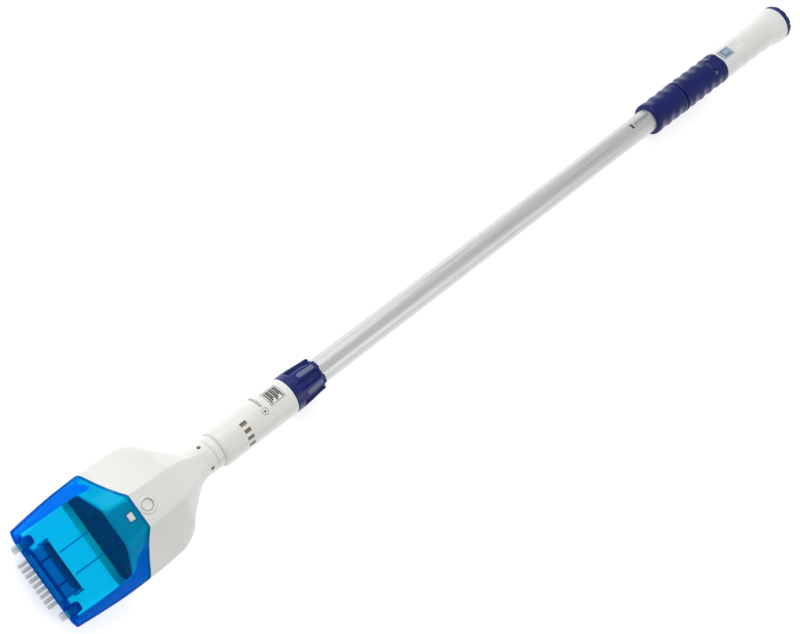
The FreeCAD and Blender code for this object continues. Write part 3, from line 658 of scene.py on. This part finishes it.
def build_guide_ribs():
    """Two thin ribs under the cup's roof that run back from the flap."""
    rib_y, half_thick, depth, length, steps = 13.2, 0.8, 3.4, 49.0, 16
    for side, word in SIDES:
        stations = [FLAP_X + 2.0 + length * i / steps for i in range(steps + 1)]
        upper = [(x, roof(x) - WALL - 0.05) for x in stations]
        outline = upper + [(x, z - depth) for x, z in reversed(upper)]
        bm = bmesh.new()
        faces = []
        for shift in (-half_thick, half_thick):
            faces.append([bm.verts.new(at(x, side * rib_y + shift, z)) for x, z in outline])
        loft(bm, faces)
        piece(f"guide_rib_{word}", mesh_from(bm, "rib"), CLEAR_DEEP, "cup")


def build_throat():
    """Intake duct behind the front wall, with its two vanes and the flap's ears."""
    half, low, high = THROAT_HALF - 0.05, THROAT_BOTTOM + 0.05, THROAT_TOP - 0.05
    mesh = box_mesh("duct", -2, THROAT_END, -half, half, low, high)
    duct = piece("intake_duct", mesh, CLEAR_DEEP, "cup", ["intake_throat"])
    half, low, high = THROAT_HALF - 1.6, THROAT_BOTTOM + 1.6, THROAT_TOP - 1.6
    hollow = box_mesh("hollow", -6, THROAT_END + 5, -half, half, low, high)
    carve(duct, [hollow, raked_box("front", -40, 60, 0.0, 60, 90)])
    soften(duct, 0.3)
    low, high = THROAT_BOTTOM + 1.2, THROAT_TOP - 1.2
    for side, word in SIDES:
        y = side * 14.5
        vane = box_mesh("vane", THROAT_END - 15.6, THROAT_END - 0.1, y - 0.9, y + 0.9, low, high, 0.4)
        piece(f"throat_vane_{word}", vane, CLEAR_DEEP, "cup")
        y = side * 30.2
        bottom, top = THROAT_TOP - 5, THROAT_TOP + 5.2
        ear = box_mesh("ear", FLAP_X - 7.2, FLAP_X + 2.4, y - 1.1, y + 1.1, bottom, top, 0.8)
        piece(f"flap_ear_{word}", ear, CLEAR_DEEP, "cup")


def build_brush():
    """Brush bar in its slot and nine tufts, each a bundle of separate filaments."""
    bar = raked_box("bar", 6.2, 11.8, -7.5, 0.55, 31.8, 0.7)
    piece("brush_bar_moulding", bar, CLEAR_DEEP, "cup", ["brush_bar"])
    rows = [(i - (TUFT_COUNT - 1) / 2) * TUFT_PITCH for i in range(TUFT_COUNT)]
    bm = bmesh.new()
    collars = bmesh.new()
    for y in rows:
        for ring, around in ((0.0, 1), (0.3, 6), (0.6, 12), (0.86, 18), (1.0, 20)):
            for k in range(around):
                a = 2 * math.pi * (k + 0.5 * ring) / around
                add_filament(bm, y, ring * math.cos(a), ring * math.sin(a))
        collars.from_mesh(cylinder_mesh("collar", TUFT_R + 0.35, on_wall(TUFT_DOWN, 0.3, y), OUT, 0.6, 24))
    piece("brush_filaments", mesh_from(bm, "tufts"), BRISTLE, "cup", ["brush_tufts"])
    piece("tuft_collars", mesh_from(collars, "collars"), CLEAR_DEEP, "cup")


def add_filament(bm, y, across, along):
    """One bristle: a thin tapering rod that leans outwards a little towards its tip."""
    spread = 1.0 + 0.10 * random.random()
    length = TUFT_LENGTH - 1.6 - 0.9 * random.random()
    base, radius, sides, steps = 0.3, 0.21, 5, 3
    rings = []
    for s in range(steps + 1):
        t = s / steps
        out = base + (length - base) * t
        wide = TUFT_R * (0.96 + 0.14 * t * spread)
        r = radius * (1 - 0.35 * t)
        ring = []
        for k in range(sides):
            a = 2 * math.pi * k / sides
            down = TUFT_DOWN + along * wide + r * math.sin(a)
            ring.append(bm.verts.new(on_wall(down, out, y + across * wide + r * math.cos(a))))
        if rings:
            bridge(bm, rings[-1], ring)
        rings.append(ring)
    bm.faces.new(rings[-1])


def build_wheels():
    """Small rollers with a grooved tread, a dished side and a hub."""
    half = [
        (0.5, 8.2, 0.2), (0.7, 9.0, 0.3), (3.5, 9.0, 1.4), (3.5, 7.2, 0.4),
        (2.5, 6.6, 0.4), (2.5, 3.9, 0.4), (3.5, 3.4, 0.4), (3.5, 1.7, 0.3),
    ]
    outline = [(-along, r, fillet) for along, r, fillet in reversed(half)] + half
    for _, word in SIDES:
        low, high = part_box(f"wheel_{word}")
        centre = (low + high) / 2

        def place(along, across, up):
            return centre + Vector((across, along, up)) * MM

        rows = round_rows(rounded_profile(outline, 3), 56, place)
        mesh = grid_mesh("wheel", rows, closed_rows=True)
        piece(f"roller_{word}", mesh, GREY, f"wheel_{word}", [f"wheel_{word}"])


def build_flap():
    """Rubber check flap: thick rounded bar at its hinge and a ribbed tongue below it."""
    low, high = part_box("intake_flap")
    half = (high.y - low.y) / 2
    hinge_z = high.z - 2.2 * MM
    middle_x = high.x - 2.2 * MM
    bar_r, neck, count = 2.1 * MM, hinge_z - 2.0 * MM, 40
    bm = bmesh.new()
    rings = []
    for i in range(count + 1):
        y = -half + 2 * half * i / count
        edge = 1 - (abs(y) / half) ** 12
        drop = (hinge_z - low.z) * (0.55 + 0.45 * edge) if abs(y) > half * 0.8 else hinge_z - low.z
        thick = (1.2 if i % 8 == 4 else 0.85) * MM
        ring = []
        for a in range(0, 181, 20):
            angle = math.radians(a)
            ring.append((middle_x + bar_r * math.cos(angle), hinge_z + bar_r * math.sin(angle)))
        ring += [(middle_x - thick, neck), (middle_x - thick * 0.8, hinge_z - drop)]
        ring += [(middle_x + thick * 0.8, hinge_z - drop), (middle_x + thick, neck)]
        rings.append([bm.verts.new(Vector((x, y, z))) for x, z in ring])
    loft(bm, rings)
    piece("check_flap", mesh_from(bm, "flap"), FLAP, "flap", ["intake_flap"])


# ---------------------------------------------------------------- head covers
def half_space(name, upper):
    """A big box above or below the seam between the two covers."""
    z0, z1 = (0.05, 80.0) if upper else (-80.0, -0.05)
    return box_mesh(name, -60, 260, -90, 90, z0, z1)


def cover_mesh():
    """Outer skin with its front lip and its bore, as one closed wall."""
    outer = skin_rows(parting_plane(), flat_plane(204.0), 0.0, 60)
    angles = [math.atan2(p.y, p.z - AXIS_Z) for p in outer[-1]]
    neck = []
    for x, r in ((207.0, 18.5), (216.3, 18.5), (216.9, 17.9), (216.9, 16.1), (199.2, 16.1)):
        neck.append([at(x, r * math.sin(a), r * math.cos(a)) for a in angles])
    inner = skin_rows(parting_plane(9.0), flat_plane(197.0), 2.6, 40)[::-1]
    lip_inner = under_parting(skin_rows(lip_plane, parting_plane(), SPIGOT_INSET, 8), SPIGOT_INSET)
    lip_inner += skin_rows(parting_plane(0.5), parting_plane(8.9), SPIGOT_INSET, 2)
    lip_outer = under_parting(skin_rows(lip_plane, parting_plane(-0.1), LIP_INSET, 8), LIP_INSET)
    return grid_mesh("head_cover", outer + neck + inner + lip_inner[::-1] + lip_outer, closed_rows=True)


def screw_cutters():
    cutters = []
    for turn in SCREW_TURNS:
        cutters.append(cylinder_mesh("recess", 2.35, polar(SCREW_X, 16.1, turn), radial(turn), 8.0, 32))
        cutters.append(cylinder_mesh("shank", 1.5, polar(SCREW_X, 10, turn), radial(turn), 12.0, 24))
    return cutters


def build_covers():
    """Top and bottom halves of the white head, parted at the pole's axis, and the button's raised ring."""
    up = Vector((0, 0, 1))
    for upper, word in ((True, "top"), (False, "bottom")):
        cover = piece(f"cover_{word}", cover_mesh(), WHITE, "head", [f"head_{word}_cover"])
        carve(cover, [half_space("half", upper)], keep=True)
        cutters = screw_cutters()
        if upper:
            cutters += [
                cylinder_mesh("dish", 8.0, at(BUTTON_X, 0, 34.8), up, 3.0, 64, 9.9),
                cylinder_mesh("bore", BUTTON_R + 0.35, at(BUTTON_X, 0, 20), up, 30.0, 64),
                window_cutter(),
            ]
        else:
            for x, y in BOSSES:
                cutters.append(cylinder_mesh("counterbore", 3.2, at(x, y, -40), up, 29.0, 40))
        carve(cover, cutters)
        soften(cover, 0.35, 33.0)
    ring = [(0.0, 6.3, 0.2), (0.0, 9.8, 0.5), (1.9, 8.7, 0.9), (1.9, 6.9, 0.5), (1.2, 6.3, 0.2)]
    sunk = 0.7

    def on_roof(height, dx, dy):
        return at(BUTTON_X + dx, dy, roof(BUTTON_X + dx) + height - sunk)

    rows = round_rows(rounded_profile(ring, 4), 72, on_roof)
    piece("button_bezel", grid_mesh("bezel", rows, closed_rows=True), WHITE, "head")


def build_button():
    """Round release button with a shallow dished top, and its lever."""
    outline = [(23.6, 0.01, 0), (23.6, BUTTON_R, 0.3), (36.6, BUTTON_R, 1.3)]
    outline += [(36.1, 3.0, 0.8), (36.0, 0.01, 0)]
    rows = round_rows(rounded_profile(outline, 6), 64, lambda z, dx, dy: at(BUTTON_X + dx, dy, z))
    mesh = grid_mesh("button", rows, caps=True)
    piece("button_cap", mesh, WHITE, "button", ["release_button"], math.radians(60))
    lever = box_mesh("lever", WINDOW_X - 3.0, BUTTON_X - 4, -3.6, 3.6, 23.65, 25.8, 0.5)
    piece("button_lever", lever, WHITE, "button")


def build_screws():
    """Pan-head screws with a cross recess: four in the neck and four in the floor."""
    neck = [(polar(SCREW_X, 16.15, turn), radial(turn)) for turn in SCREW_TURNS]
    floor = [(at(x, y, -8.0), Vector((0, 0, -1))) for x, y in BOSSES]
    for word, spots, sizes, cad in (
        ("neck", neck, (2.1, 0.9, 3.0), "neck_screws"),
        ("floor", floor, (2.9, 2.2, 18.5), "head_screws"),
    ):
        bm = bmesh.new()
        for start, direction in spots:
            bm.from_mesh(screw_mesh(start, direction, *sizes))
        piece(f"{word}_cross_screws", mesh_from(bm, "screws"), DARK_STEEL, "head", [cad])


def screw_mesh(start, direction, radius, height, shank):
    """Dome head from its seat outwards, a cross-shaped recess and a threaded shank inwards."""
    pitch = 0.7
    outline = [(-shank, 0.02)]
    for i in range(int(shank / pitch)):
        x = -shank + 0.4 + i * pitch
        outline += [(x, radius * 0.36), (x + pitch / 2, radius * 0.52)]
    outline += [(0.0, radius * 0.4), (0.0, radius), (height * 0.45, radius), (height * 0.85, radius * 0.8)]
    outline += [(height, radius * 0.5), (height, 0.02)]
    turn = Vector((0, 0, 1)).rotation_difference(direction).to_matrix()

    def place(along, across, up):
        return start + turn @ (Vector((up, across, along)) * MM)

    obj = put("screw", grid_mesh("screw", round_rows(outline, 28, place), caps=True))
    cross = []
    for wide, deep in ((radius * 0.62, radius * 0.14), (radius * 0.14, radius * 0.62)):
        bm = bmesh.new()
        bmesh.ops.create_cube(bm, size=1.0)
        for v in bm.verts:
            local = Vector((v.co.x * 2 * wide, v.co.y * 2 * deep, height * 0.35 + (v.co.z + 0.5) * height))
            v.co = start + turn @ (local * MM)
        cross.append(mesh_from(bm, "cross"))
    carve(obj, cross)
    mesh = obj.data
    bpy.data.objects.remove(obj)
    return mesh


# ---------------------------------------------------------------- barrel and collar
VENT_ANGLES = [-14.0 + 22.4 * i + side for side in (0.0, 180.0) for i in range(4)]


def build_barrel():
    """White motor barrel with its stepped front ring and outlet windows, and a thin sleeve behind them."""
    outline = [
        (199.4, 12.7, 0.3), (199.4, 15.8, 0.3), (217.1, 15.8, 0), (217.1, 17.9, 0.5), (218.0, 18.5, 0.4),
        (225.2, 18.5, 0.3), (225.7, 17.7, 0.2), (226.2, 17.9, 0.2), (226.4, 20.0, 0.5), (229.4, 22.0, 2.4),
        (328.4, 22.0, 0.5), (328.9, 21.4, 0.3), (328.9, 19.45, 0.2), (236.2, 19.45, 1.0), (236.2, 12.7, 0.6),
    ]
    barrel = piece("barrel_shell", lathe("barrel", outline, 160), WHITE, "head", ["motor_barrel"])
    vents = [box_mesh("vent", 256.5, 265.2, -2.35, 2.35, 14, 30, 0.35, turn, 2) for turn in VENT_ANGLES]
    carve(barrel, vents + screw_cutters())
    soften(barrel, 0.22, 33.0)
    liner = lathe("liner", [(252.5, 19.38, 0), (269.5, 19.38, 0), (269.5, 18.9, 0), (252.5, 18.9, 0)], 96)
    piece("outlet_liner", liner, TAN, "head")
    build_marks()


def arc_patch(bm, x0, x1, a0, a1, radius=BARREL_R, thick=INK_DEPTH):
    """A thin raised patch on a cylinder about the pole, between two stations and two angles in degrees."""
    steps = max(2, int(abs(a1 - a0) / 3))
    rows = []
    for i in range(steps + 1):
        degrees = a0 + (a1 - a0) * i / steps
        corners = ((x0, radius), (x1, radius), (x1, radius + thick), (x0, radius + thick))
        rows.append([bm.verts.new(polar(x, r, degrees)) for x, r in corners])
    loft(bm, rows)


def build_marks():
    """Generic marks: framed bars, dashes and a ringed triangle on the barrel, and ticks on the pole."""
    ink = moulded("printed_ink", (0.045, 0.045, 0.05), 0.5, shade=0.7)
    bm = bmesh.new()
    start, end, first, last = 299.0, 319.5, -54.0, -6.0
    arc_patch(bm, start, end, first, first + 1.5)
    arc_patch(bm, start, end, last - 1.5, last)
    arc_patch(bm, start, start + 0.6, first, last)
    arc_patch(bm, end - 0.6, end, first, last)
    for i in range(7):
        x = start + 2.0 + i * 2.5
        arc_patch(bm, x, x + 1.7 + 0.4 * (i % 2), first + 4, last - 4 - 5.0 * (i % 3))
    for i in range(12):
        a = -76.0 + i * 4.6
        arc_patch(bm, 287.5, 290.2 + 1.2 * (i % 2), a, a + 2.0)
    piece("barrel_print", mesh_from(bm, "print"), ink, "head")
    bm = bmesh.new()
    ring_icon(bm, 289.4, -5.0, 4.0)
    piece("barrel_icon", mesh_from(bm, "icon"), ink, "head")
    bm = bmesh.new()
    for i in range(9):
        x = 930.5 + i * 3.0
        arc_patch(bm, x, x + 1.0, -36.0, -20.0 + (9.0 if i % 3 == 0 else 0.0), POLE_R, 0.05)
    arc_patch(bm, 923.0, 926.6, -40.0, -12.0, POLE_R, 0.05)
    piece("pole_ticks", mesh_from(bm, "ticks"), ink, "pole")


def laid(bm, points, x, degrees, radius, lift):
    """Vertices for (along, across) millimetre points, wrapped round the pole at a radius and then raised."""
    turns = [degrees + math.degrees(dy / radius) for _, dy in points]
    return [bm.verts.new(polar(x + dx, radius + lift, turn)) for (dx, _), turn in zip(points, turns)]


def laid_prism(bm, points, x, degrees, radius, low, high):
    """A flat shape wrapped round the pole, from one lift to another."""
    loft(bm, [laid(bm, points, x, degrees, radius, lift) for lift in (low, high)])


def ring_icon(bm, x, degrees, size):
    """A ring with a small triangle inside, laid on the barrel."""
    count, line = 40, 0.45
    loops = []
    for r, lift in ((size - line, 0.0), (size, 0.0), (size, INK_DEPTH), (size - line, INK_DEPTH)):
        angles = [2 * math.pi * k / count for k in range(count)]
        points = [(r * math.cos(a), r * math.sin(a)) for a in angles]
        loops.append(laid(bm, points, x, degrees, BARREL_R, lift))
    for i in range(4):
        bridge(bm, loops[i], loops[(i + 1) % 4])
    corners = [(size * 0.5, 0.0), (-size * 0.35, size * 0.4), (-size * 0.35, -size * 0.4)]
    laid_prism(bm, corners, x, degrees, BARREL_R, 0.0, INK_DEPTH)


LAND_COUNT = 6
LAND_CENTRE = 30.6


def smoothstep(t):
    t = min(max(t, 0.0), 1.0)
    return t * t * (3 - 2 * t)


def land_radius(x):
    """The collar's crest, which tapers towards the pole."""
    return 21.95 - 2.3 * smoothstep((x - COLLAR_START - 8.0) / (COLLAR_END - COLLAR_START - 8.0))


def collar_radius(x, r, degrees):
    """Six broad raised lands with a shallow channel in each, and deep valleys between them."""
    if r < 17.9:
        return r
    start = COLLAR_START + 8.0
    fade = smoothstep((x - start) / 6.0)
    pitch = 360.0 / LAND_COUNT
    off = abs((degrees - LAND_CENTRE + pitch / 2) % pitch - pitch / 2)
    valley = smoothstep((off - 14.5) / 4.0)
    channel = smoothstep((8.0 - off) / 2.5) * smoothstep((x - start - 6.0) / 4.0)
    channel *= smoothstep((COLLAR_END - 5.0 - x) / 4.0)
    return r - fade * (3.5 * valley) - 0.3 * channel


def build_collar():
    """Navy clamp collar: plain skirt, then lands and valleys to its pole end."""
    stations = [COLLAR_START + 0.6 + i * 0.8 for i in range(54)]
    outer = [(COLLAR_START, 21.2)] + [(x, land_radius(x)) for x in stations]
    outer += [(COLLAR_END - 0.4, 19.3), (COLLAR_END, 18.7)]
    inner = [(COLLAR_END, 15.6), (373.0, 15.6), (373.0, 17.3), (370.0, 17.3), (370.0, 16.1)]
    inner += [(367.0, 16.5), (358.0, 17.8), (COLLAR_START, 17.8)]
    rows = lathe_rows(outer, collar_radius, 288) + lathe_rows(inner, None, 288)
    mesh = grid_mesh("collar", rows, closed_rows=True)
    piece("collar_lands", mesh, NAVY, "collar", ["collar_nut"], math.radians(32))
    # Lighter navy strips along the lands' crests: a painted highlight of a reflection.
    build_land_highlights()


def build_land_highlights():
    """Painted highlight along the crest of each land: a thin strip of lighter navy, rounded at its front,
    that stands in for a reflection of a light on the flat lands.
    """
    bm = bmesh.new()
    steps, across, half_width, length, sunk, rise = 18, 8, 9.2, 25.5, 0.18, 0.22
    for land in range(LAND_COUNT):
        centre = LAND_CENTRE + 360.0 / LAND_COUNT * land
        rows = []
        for i in range(steps + 1):
            x = COLLAR_START + 15.0 + length * i / steps
            half = half_width * math.sqrt(max(0.02, 1 - (1 - min(i / 4, 1.0)) ** 2))
            top, low = [], []
            for k in range(across + 1):
                degrees = centre + half * (2 * k / across - 1)
                edge = 0.0 if k in (0, across) or i in (0, steps) else rise
                top.append(bm.verts.new(polar(x, land_radius(x) - sunk + edge, degrees)))
                low.append(bm.verts.new(polar(x, land_radius(x) - 0.9, degrees)))
            rows.append(top + low[::-1])
        loft(bm, rows)
    piece("collar_land_highlights", mesh_from(bm, "land_highlights"), HIGHLIGHT_AND_MARK_NAVY, "collar")


# ---------------------------------------------------------------- grips and handle
RIPPLE_PITCH = 17.2
GRIP_SMOOTH = -5.0  # degrees: the middle of the plain band along the top


def flank_share(degrees):
    """0 on the plain band along the top, rising to 1 on the flanks and the underside."""
    return smoothstep((abs((degrees - GRIP_SMOOTH + 180) % 360 - 180) - 22.0) / 38.0)


def on_switch_flat(r, degrees, share):
    """Radius r brought down softly to the switch's flat, by the flat's share at this station."""
    off = math.radians(degrees - HANDLE_CLOCK)
    if math.cos(off) < 0.5 or share <= 0:
        return r
    inside = smoothstep(9.9 - abs(r * math.sin(off))) * share
    return r * (1 - inside) + min(r, FACET_R / math.cos(off)) * inside


def grip_radius(x, r, degrees):
    """Diagonal finger scallops down both flanks and the underside, with a plain band along the top."""
    if r < 19.0:
        return r
    around = math.radians(degrees - GRIP_SMOOTH)
    lean = 7.0 * math.cos(around)
    wave = math.cos(2 * math.pi * (x - SLEEVE_START - RIPPLE_PITCH / 2 + lean) / RIPPLE_PITCH)
    local = [x - SLEEVE_START, SLEEVE_END - x] if x <= SLEEVE_END else [x - GRIP_START, GRIP_END - 3 - x]
    fade = smoothstep((min(local) - 2.0) / 6.0)
    r += fade * flank_share(degrees) * 0.62 * (wave - 1.0)
    return on_switch_flat(r, degrees, smoothstep((x - GRIP_END + 27.0) / 9.0) if x > GRIP_START else 0.0)


def sleeve_profile(x0, x1, inner, lip):
    """Outline of a rubber sleeve with a rolled lip at its front."""
    points = [(x0, inner), (x0, GRIP_R - 3.4), (x0 + 0.4, GRIP_R - 1.6), (x0 + 1.3, GRIP_R - 0.5)]
    points += [(x0 + 2.6, GRIP_R - 0.05)]
    steps = int((x1 - x0 - 5) / 0.9)
    for i in range(steps + 1):
        points.append((x0 + 3.4 + (x1 - x0 - 5.6) * i / steps, GRIP_R))
    points += [(x1 - 1.2, GRIP_R - 0.35), (x1 - 0.3, GRIP_R - lip), (x1, GRIP_R - lip - 0.5), (x1, inner)]
    return points


def build_grips():
    """The lower grip on its sleeve, and the upper grip with its small raised arrow."""
    for name, body, cad, sizes in (
        ("lower_grip", "sleeve", "lock_sleeve", (SLEEVE_START, SLEEVE_END, 15.1, 1.5)),
        ("moulded_grip", "pole", "upper_grip", (GRIP_START, GRIP_END, CORE_R, 0.3)),
    ):
        rows = lathe_rows(sleeve_profile(*sizes), grip_radius, 160)
        piece(name, grid_mesh(name, rows, closed_rows=True), RUBBER, body, [cad])
    bm = bmesh.new()
    corners = [(3.4, 0.0), (-2.4, 2.8), (-2.4, -2.8)]
    laid_prism(bm, corners, GRIP_END - 21.0, 10.0, GRIP_R, -0.2, 0.28)
    piece("grip_arrow", mesh_from(bm, "arrow"), HIGHLIGHT_AND_MARK_NAVY, "pole")


def handle_radius(x, r, degrees):
    """The white tube's section: round with faint flank waves, the switch's flat and a scallop behind it."""
    if r < 19.5:
        return r
    off = math.radians(degrees - HANDLE_CLOCK)
    lean = 7.0 * math.cos(math.radians(degrees - GRIP_SMOOTH))
    wave = math.cos(2 * math.pi * (x - GRIP_END + lean) / 22.0)
    fade = smoothstep((x - GRIP_END - 12.0) / 10.0) * smoothstep((1214.0 - x) / 10.0)
    r += 0.35 * flank_share(degrees) * (wave - 1.0) * fade
    if math.cos(off) < 0.5 or x > 1200:
        return r
    y = r * math.sin(off)
    half = 9.4
    reach = FACET_END - half - x
    edge = half - abs(y) if reach > 0 else half - math.hypot(y, reach)
    inside = smoothstep(edge + 0.5)
    scallop = 0.8 * smoothstep(1 - abs(x - 1141.0) / 8.0) * smoothstep(1 - abs(y) / 7.0)
    return r * (1 - inside) + min(r, FACET_R / math.cos(off)) * inside - scallop


def build_handle():
    """White handle tube: a core under the upper grip, a plain length and a flared end."""
    core = CORE_R - 0.02
    outline = [(GRIP_START, 15.05), (GRIP_START, core), (GRIP_END - 0.2, core)]
    outline += [(GRIP_END + 0.1, HANDLE_R - 0.5), (GRIP_END + 0.5, HANDLE_R)]
    outline += [(GRIP_END + 1.2 + i * 1.4, HANDLE_R) for i in range(70)]
    outline += [(1208, 20.7), (1213, 21.3), (1218, 22.1), (1222, 22.9), (1226, 23.7), (1229, 24.1)]
    outline += [(1231.4, 24.2), (HANDLE_END - 0.3, 24.15), (HANDLE_END, 23.8), (HANDLE_END, 21.6)]
    outline += [(1231.0, 21.6), (1231.0, 19.0), (1222.0, 19.0), (1222.0, 16.2), (1074.0, 16.2)]
    outline += [(1074.0, 3.0), (1070.0, 3.0), (1070.0, 15.05)]
    mesh = grid_mesh("handle", lathe_rows(outline, handle_radius, 320), closed_rows=True)
    angle = math.radians(30)
    handle = piece("handle_tube", mesh, HANDLE_WHITE, "pole", ["handle_body"], angle)
    carve(handle, [switch_box("pocket", 9.0, 5.6, 10, 30)])
    handle.data.set_sharp_from_angle(angle=angle)


def switch_box(name, half_length, half_width, low, high, bevel=0.0, segments=3):
    """A box centred on the switch, square to its flat."""
    x0, x1 = SWITCH_X - half_length, SWITCH_X + half_length
    return box_mesh(name, x0, x1, -half_width, half_width, low, high, bevel, HANDLE_CLOCK, segments)


def build_switch():
    """Silicone push switch: a framed bezel on the flat and a stepped pad inside it."""
    mesh = switch_box("bezel", 10.4, 7.1, FACET_R - 0.1, FACET_R + 1.4, 0.7)
    bezel = piece("switch_bezel", mesh, PAD, "pole", ["switch_frame"])
    carve(bezel, [switch_box("hole", 6.0, 5.3, 10, 30, 0.8)])
    soften(bezel, 0.15)
    mesh = switch_box("pad", 5.6, 4.9, 15.6, FACET_R + 2.2, 0.8, 4)
    piece("switch_pad", mesh, PAD_DARK, "switch", ["switch_button"])
    mesh = switch_box("crown", 3.9, 3.3, FACET_R + 1.0, FACET_R + 2.9, 0.7, 4)
    piece("switch_crown", mesh, PAD, "switch")


def cap_radius(x, r, degrees):
    """Small finger notches round the end cap's rim."""
    if r < 21.0 or x < HANDLE_END + 1.0:
        return r
    off = abs((degrees + 15.0) % 30.0 - 15.0)
    return r - 0.9 * smoothstep((4.0 - off) / 2.5) * smoothstep((x - HANDLE_END - 1.0) / 1.2)


def build_end_cap():
    """Screw cap that closes the flared end, with a shallow ring in its face."""
    outline = [
        (1224.6, 16.6), (1224.6, 18.4), (1225.0, 18.7), (HANDLE_END + 0.1, 18.7), (HANDLE_END + 0.1, 23.4),
        (HANDLE_END + 0.4, 23.7), (1234.2, 23.8), (1238.4, 23.8), (1240.6, 23.7), (1241.8, 23.3),
        (1242.6, 22.5), (1243.0, 21.2), (1243.25, 18.5), (1243.25, 16.5), (1242.9, 15.6), (1242.9, 14.8),
        (1243.3, 14.0), (1243.4, 9.0), (1243.5, 4.0), (1243.5, 0.02), (1238.5, 0.02), (1238.5, 16.6),
    ]
    cap = grid_mesh("cap", lathe_rows(outline, cap_radius, 240), closed_rows=True)
    piece("screw_cap", cap, NAVY, "cap", ["end_cap"], math.radians(30))


# ---------------------------------------------------------------- materials of the CAD pieces that stay
STAYING = {
    "flap_pin": STEEL, "wheel_axles": STEEL, "filter_frame": BLACK, "filter_screen": MESH,
    "latch_tongue": WHITE, "release_spring": STEEL, "spring_bridge": WHITE, "impeller": TAN,
    "impeller_shaft": STEEL, "motor_mount": BLACK, "shaft_seal": SEAL, "motor_can": CAN,
    "motor_screws": STEEL, "motor_end_bell": BLACK, "pole_socket": BLACK, "pole_collet": BRISTLE,
    "pole_seal": SEAL, "pole_tube": ALUMINIUM, "power_lead": LEAD, "switch_module": BLACK,
    "battery_holder": BLACK, "battery_cells": CELL, "contact_spring": STEEL, "contact_plate": BRASS,
    "charge_socket": BLACK, "cap_seal": SEAL,
}


def dress_cad():
    """Gives each CAD node that is still seen its material."""
    for name, mat in STAYING.items():
        paint(NODES[name].data, mat)


# ---------------------------------------------------------------- floor, light and camera
def lay_floor():
    """Wide white floor under the object."""
    bm = bmesh.new()
    bmesh.ops.create_grid(bm, x_segments=8, y_segments=8, size=6.0)
    floor = put("floor", mesh_from(bm, "floor"))
    floor.location = (0, 0, -0.0005)
    mat = material("floor_paper", (0.93, 0.93, 0.93), 0.9)
    grain = stretched_noise(mat, 60.0, detail=3.0)
    drive(mat, "Base Color", ramp(mat, grain, 0.3, 0.7, (0.925, 0.925, 0.925), (0.94, 0.94, 0.94)))
    shader_of(mat).inputs["Emission Color"].default_value = (1, 1, 1, 1)
    shader_of(mat).inputs["Emission Strength"].default_value = 0.45
    floor.data.materials.append(mat)


def area_light(name, place, aim, size, power):
    data = bpy.data.lights.new(name, "AREA")
    data.shape = "RECTANGLE"
    data.size, data.size_y = size
    data.energy = power
    lamp = put(name, data)
    lamp.location = place
    lamp.rotation_euler = (Vector(aim) - Vector(place)).to_track_quat("-Z", "Y").to_euler()


def light_studio():
    world = bpy.data.worlds.new("studio")
    bpy.context.scene.world = world
    world.use_nodes = True
    world.node_tree.nodes["Background"].inputs["Color"].default_value = (1.0, 1.0, 1.0, 1)
    world.node_tree.nodes["Background"].inputs["Strength"].default_value = 0.60
    area_light("key", (-0.3, 1.5, 1.3), (0, 0, 0), (1.8, 1.0), 22)
    area_light("fill", (0.6, -1.5, 1.2), (0, 0, 0), (1.6, 1.0), 7)
    bpy.context.scene.view_settings.view_transform = "Standard"
    bpy.context.scene.view_settings.exposure = 0.0


TILT = math.radians(31.0)
ROLL = math.radians(5.0)
IMAGE_TURN = (0.79558, 0.60585)
VIEW_STATION = 502.4
VIEW_DISTANCE = 2.0067


def place_camera():
    """Looks down on the pole, from ahead of its middle, with the pole running to the upper right."""
    centre = at(VIEW_STATION)
    ct, st, cr, sr = math.cos(TILT), math.sin(TILT), math.cos(ROLL), math.sin(ROLL)
    back = Vector((-st, ct * sr, ct * cr))
    along = Vector((ct, st * sr, st * cr))
    across = Vector((0, cr, -sr))
    right = along * IMAGE_TURN[0] - across * IMAGE_TURN[1]
    up = along * IMAGE_TURN[1] + across * IMAGE_TURN[0]
    data = bpy.data.cameras.new("camera")
    data.lens = 81.0
    data.sensor_width = 36.0
    data.shift_x = 0.0052
    data.shift_y = -0.0065
    data.clip_end = 50
    camera = put("camera", data)
    turn = Matrix((right, up, back)).transposed().to_4x4()
    camera.matrix_world = Matrix.Translation(centre + back * VIEW_DISTANCE) @ turn
    bpy.context.scene.camera = camera


build_cup()
build_throat()
build_brush()
build_wheels()
build_flap()
build_covers()
build_button()
build_screws()
build_barrel()
build_collar()
build_grips()
build_handle()
build_switch()
build_end_cap()
dress_cad()
lay_floor()
light_studio()
place_camera()
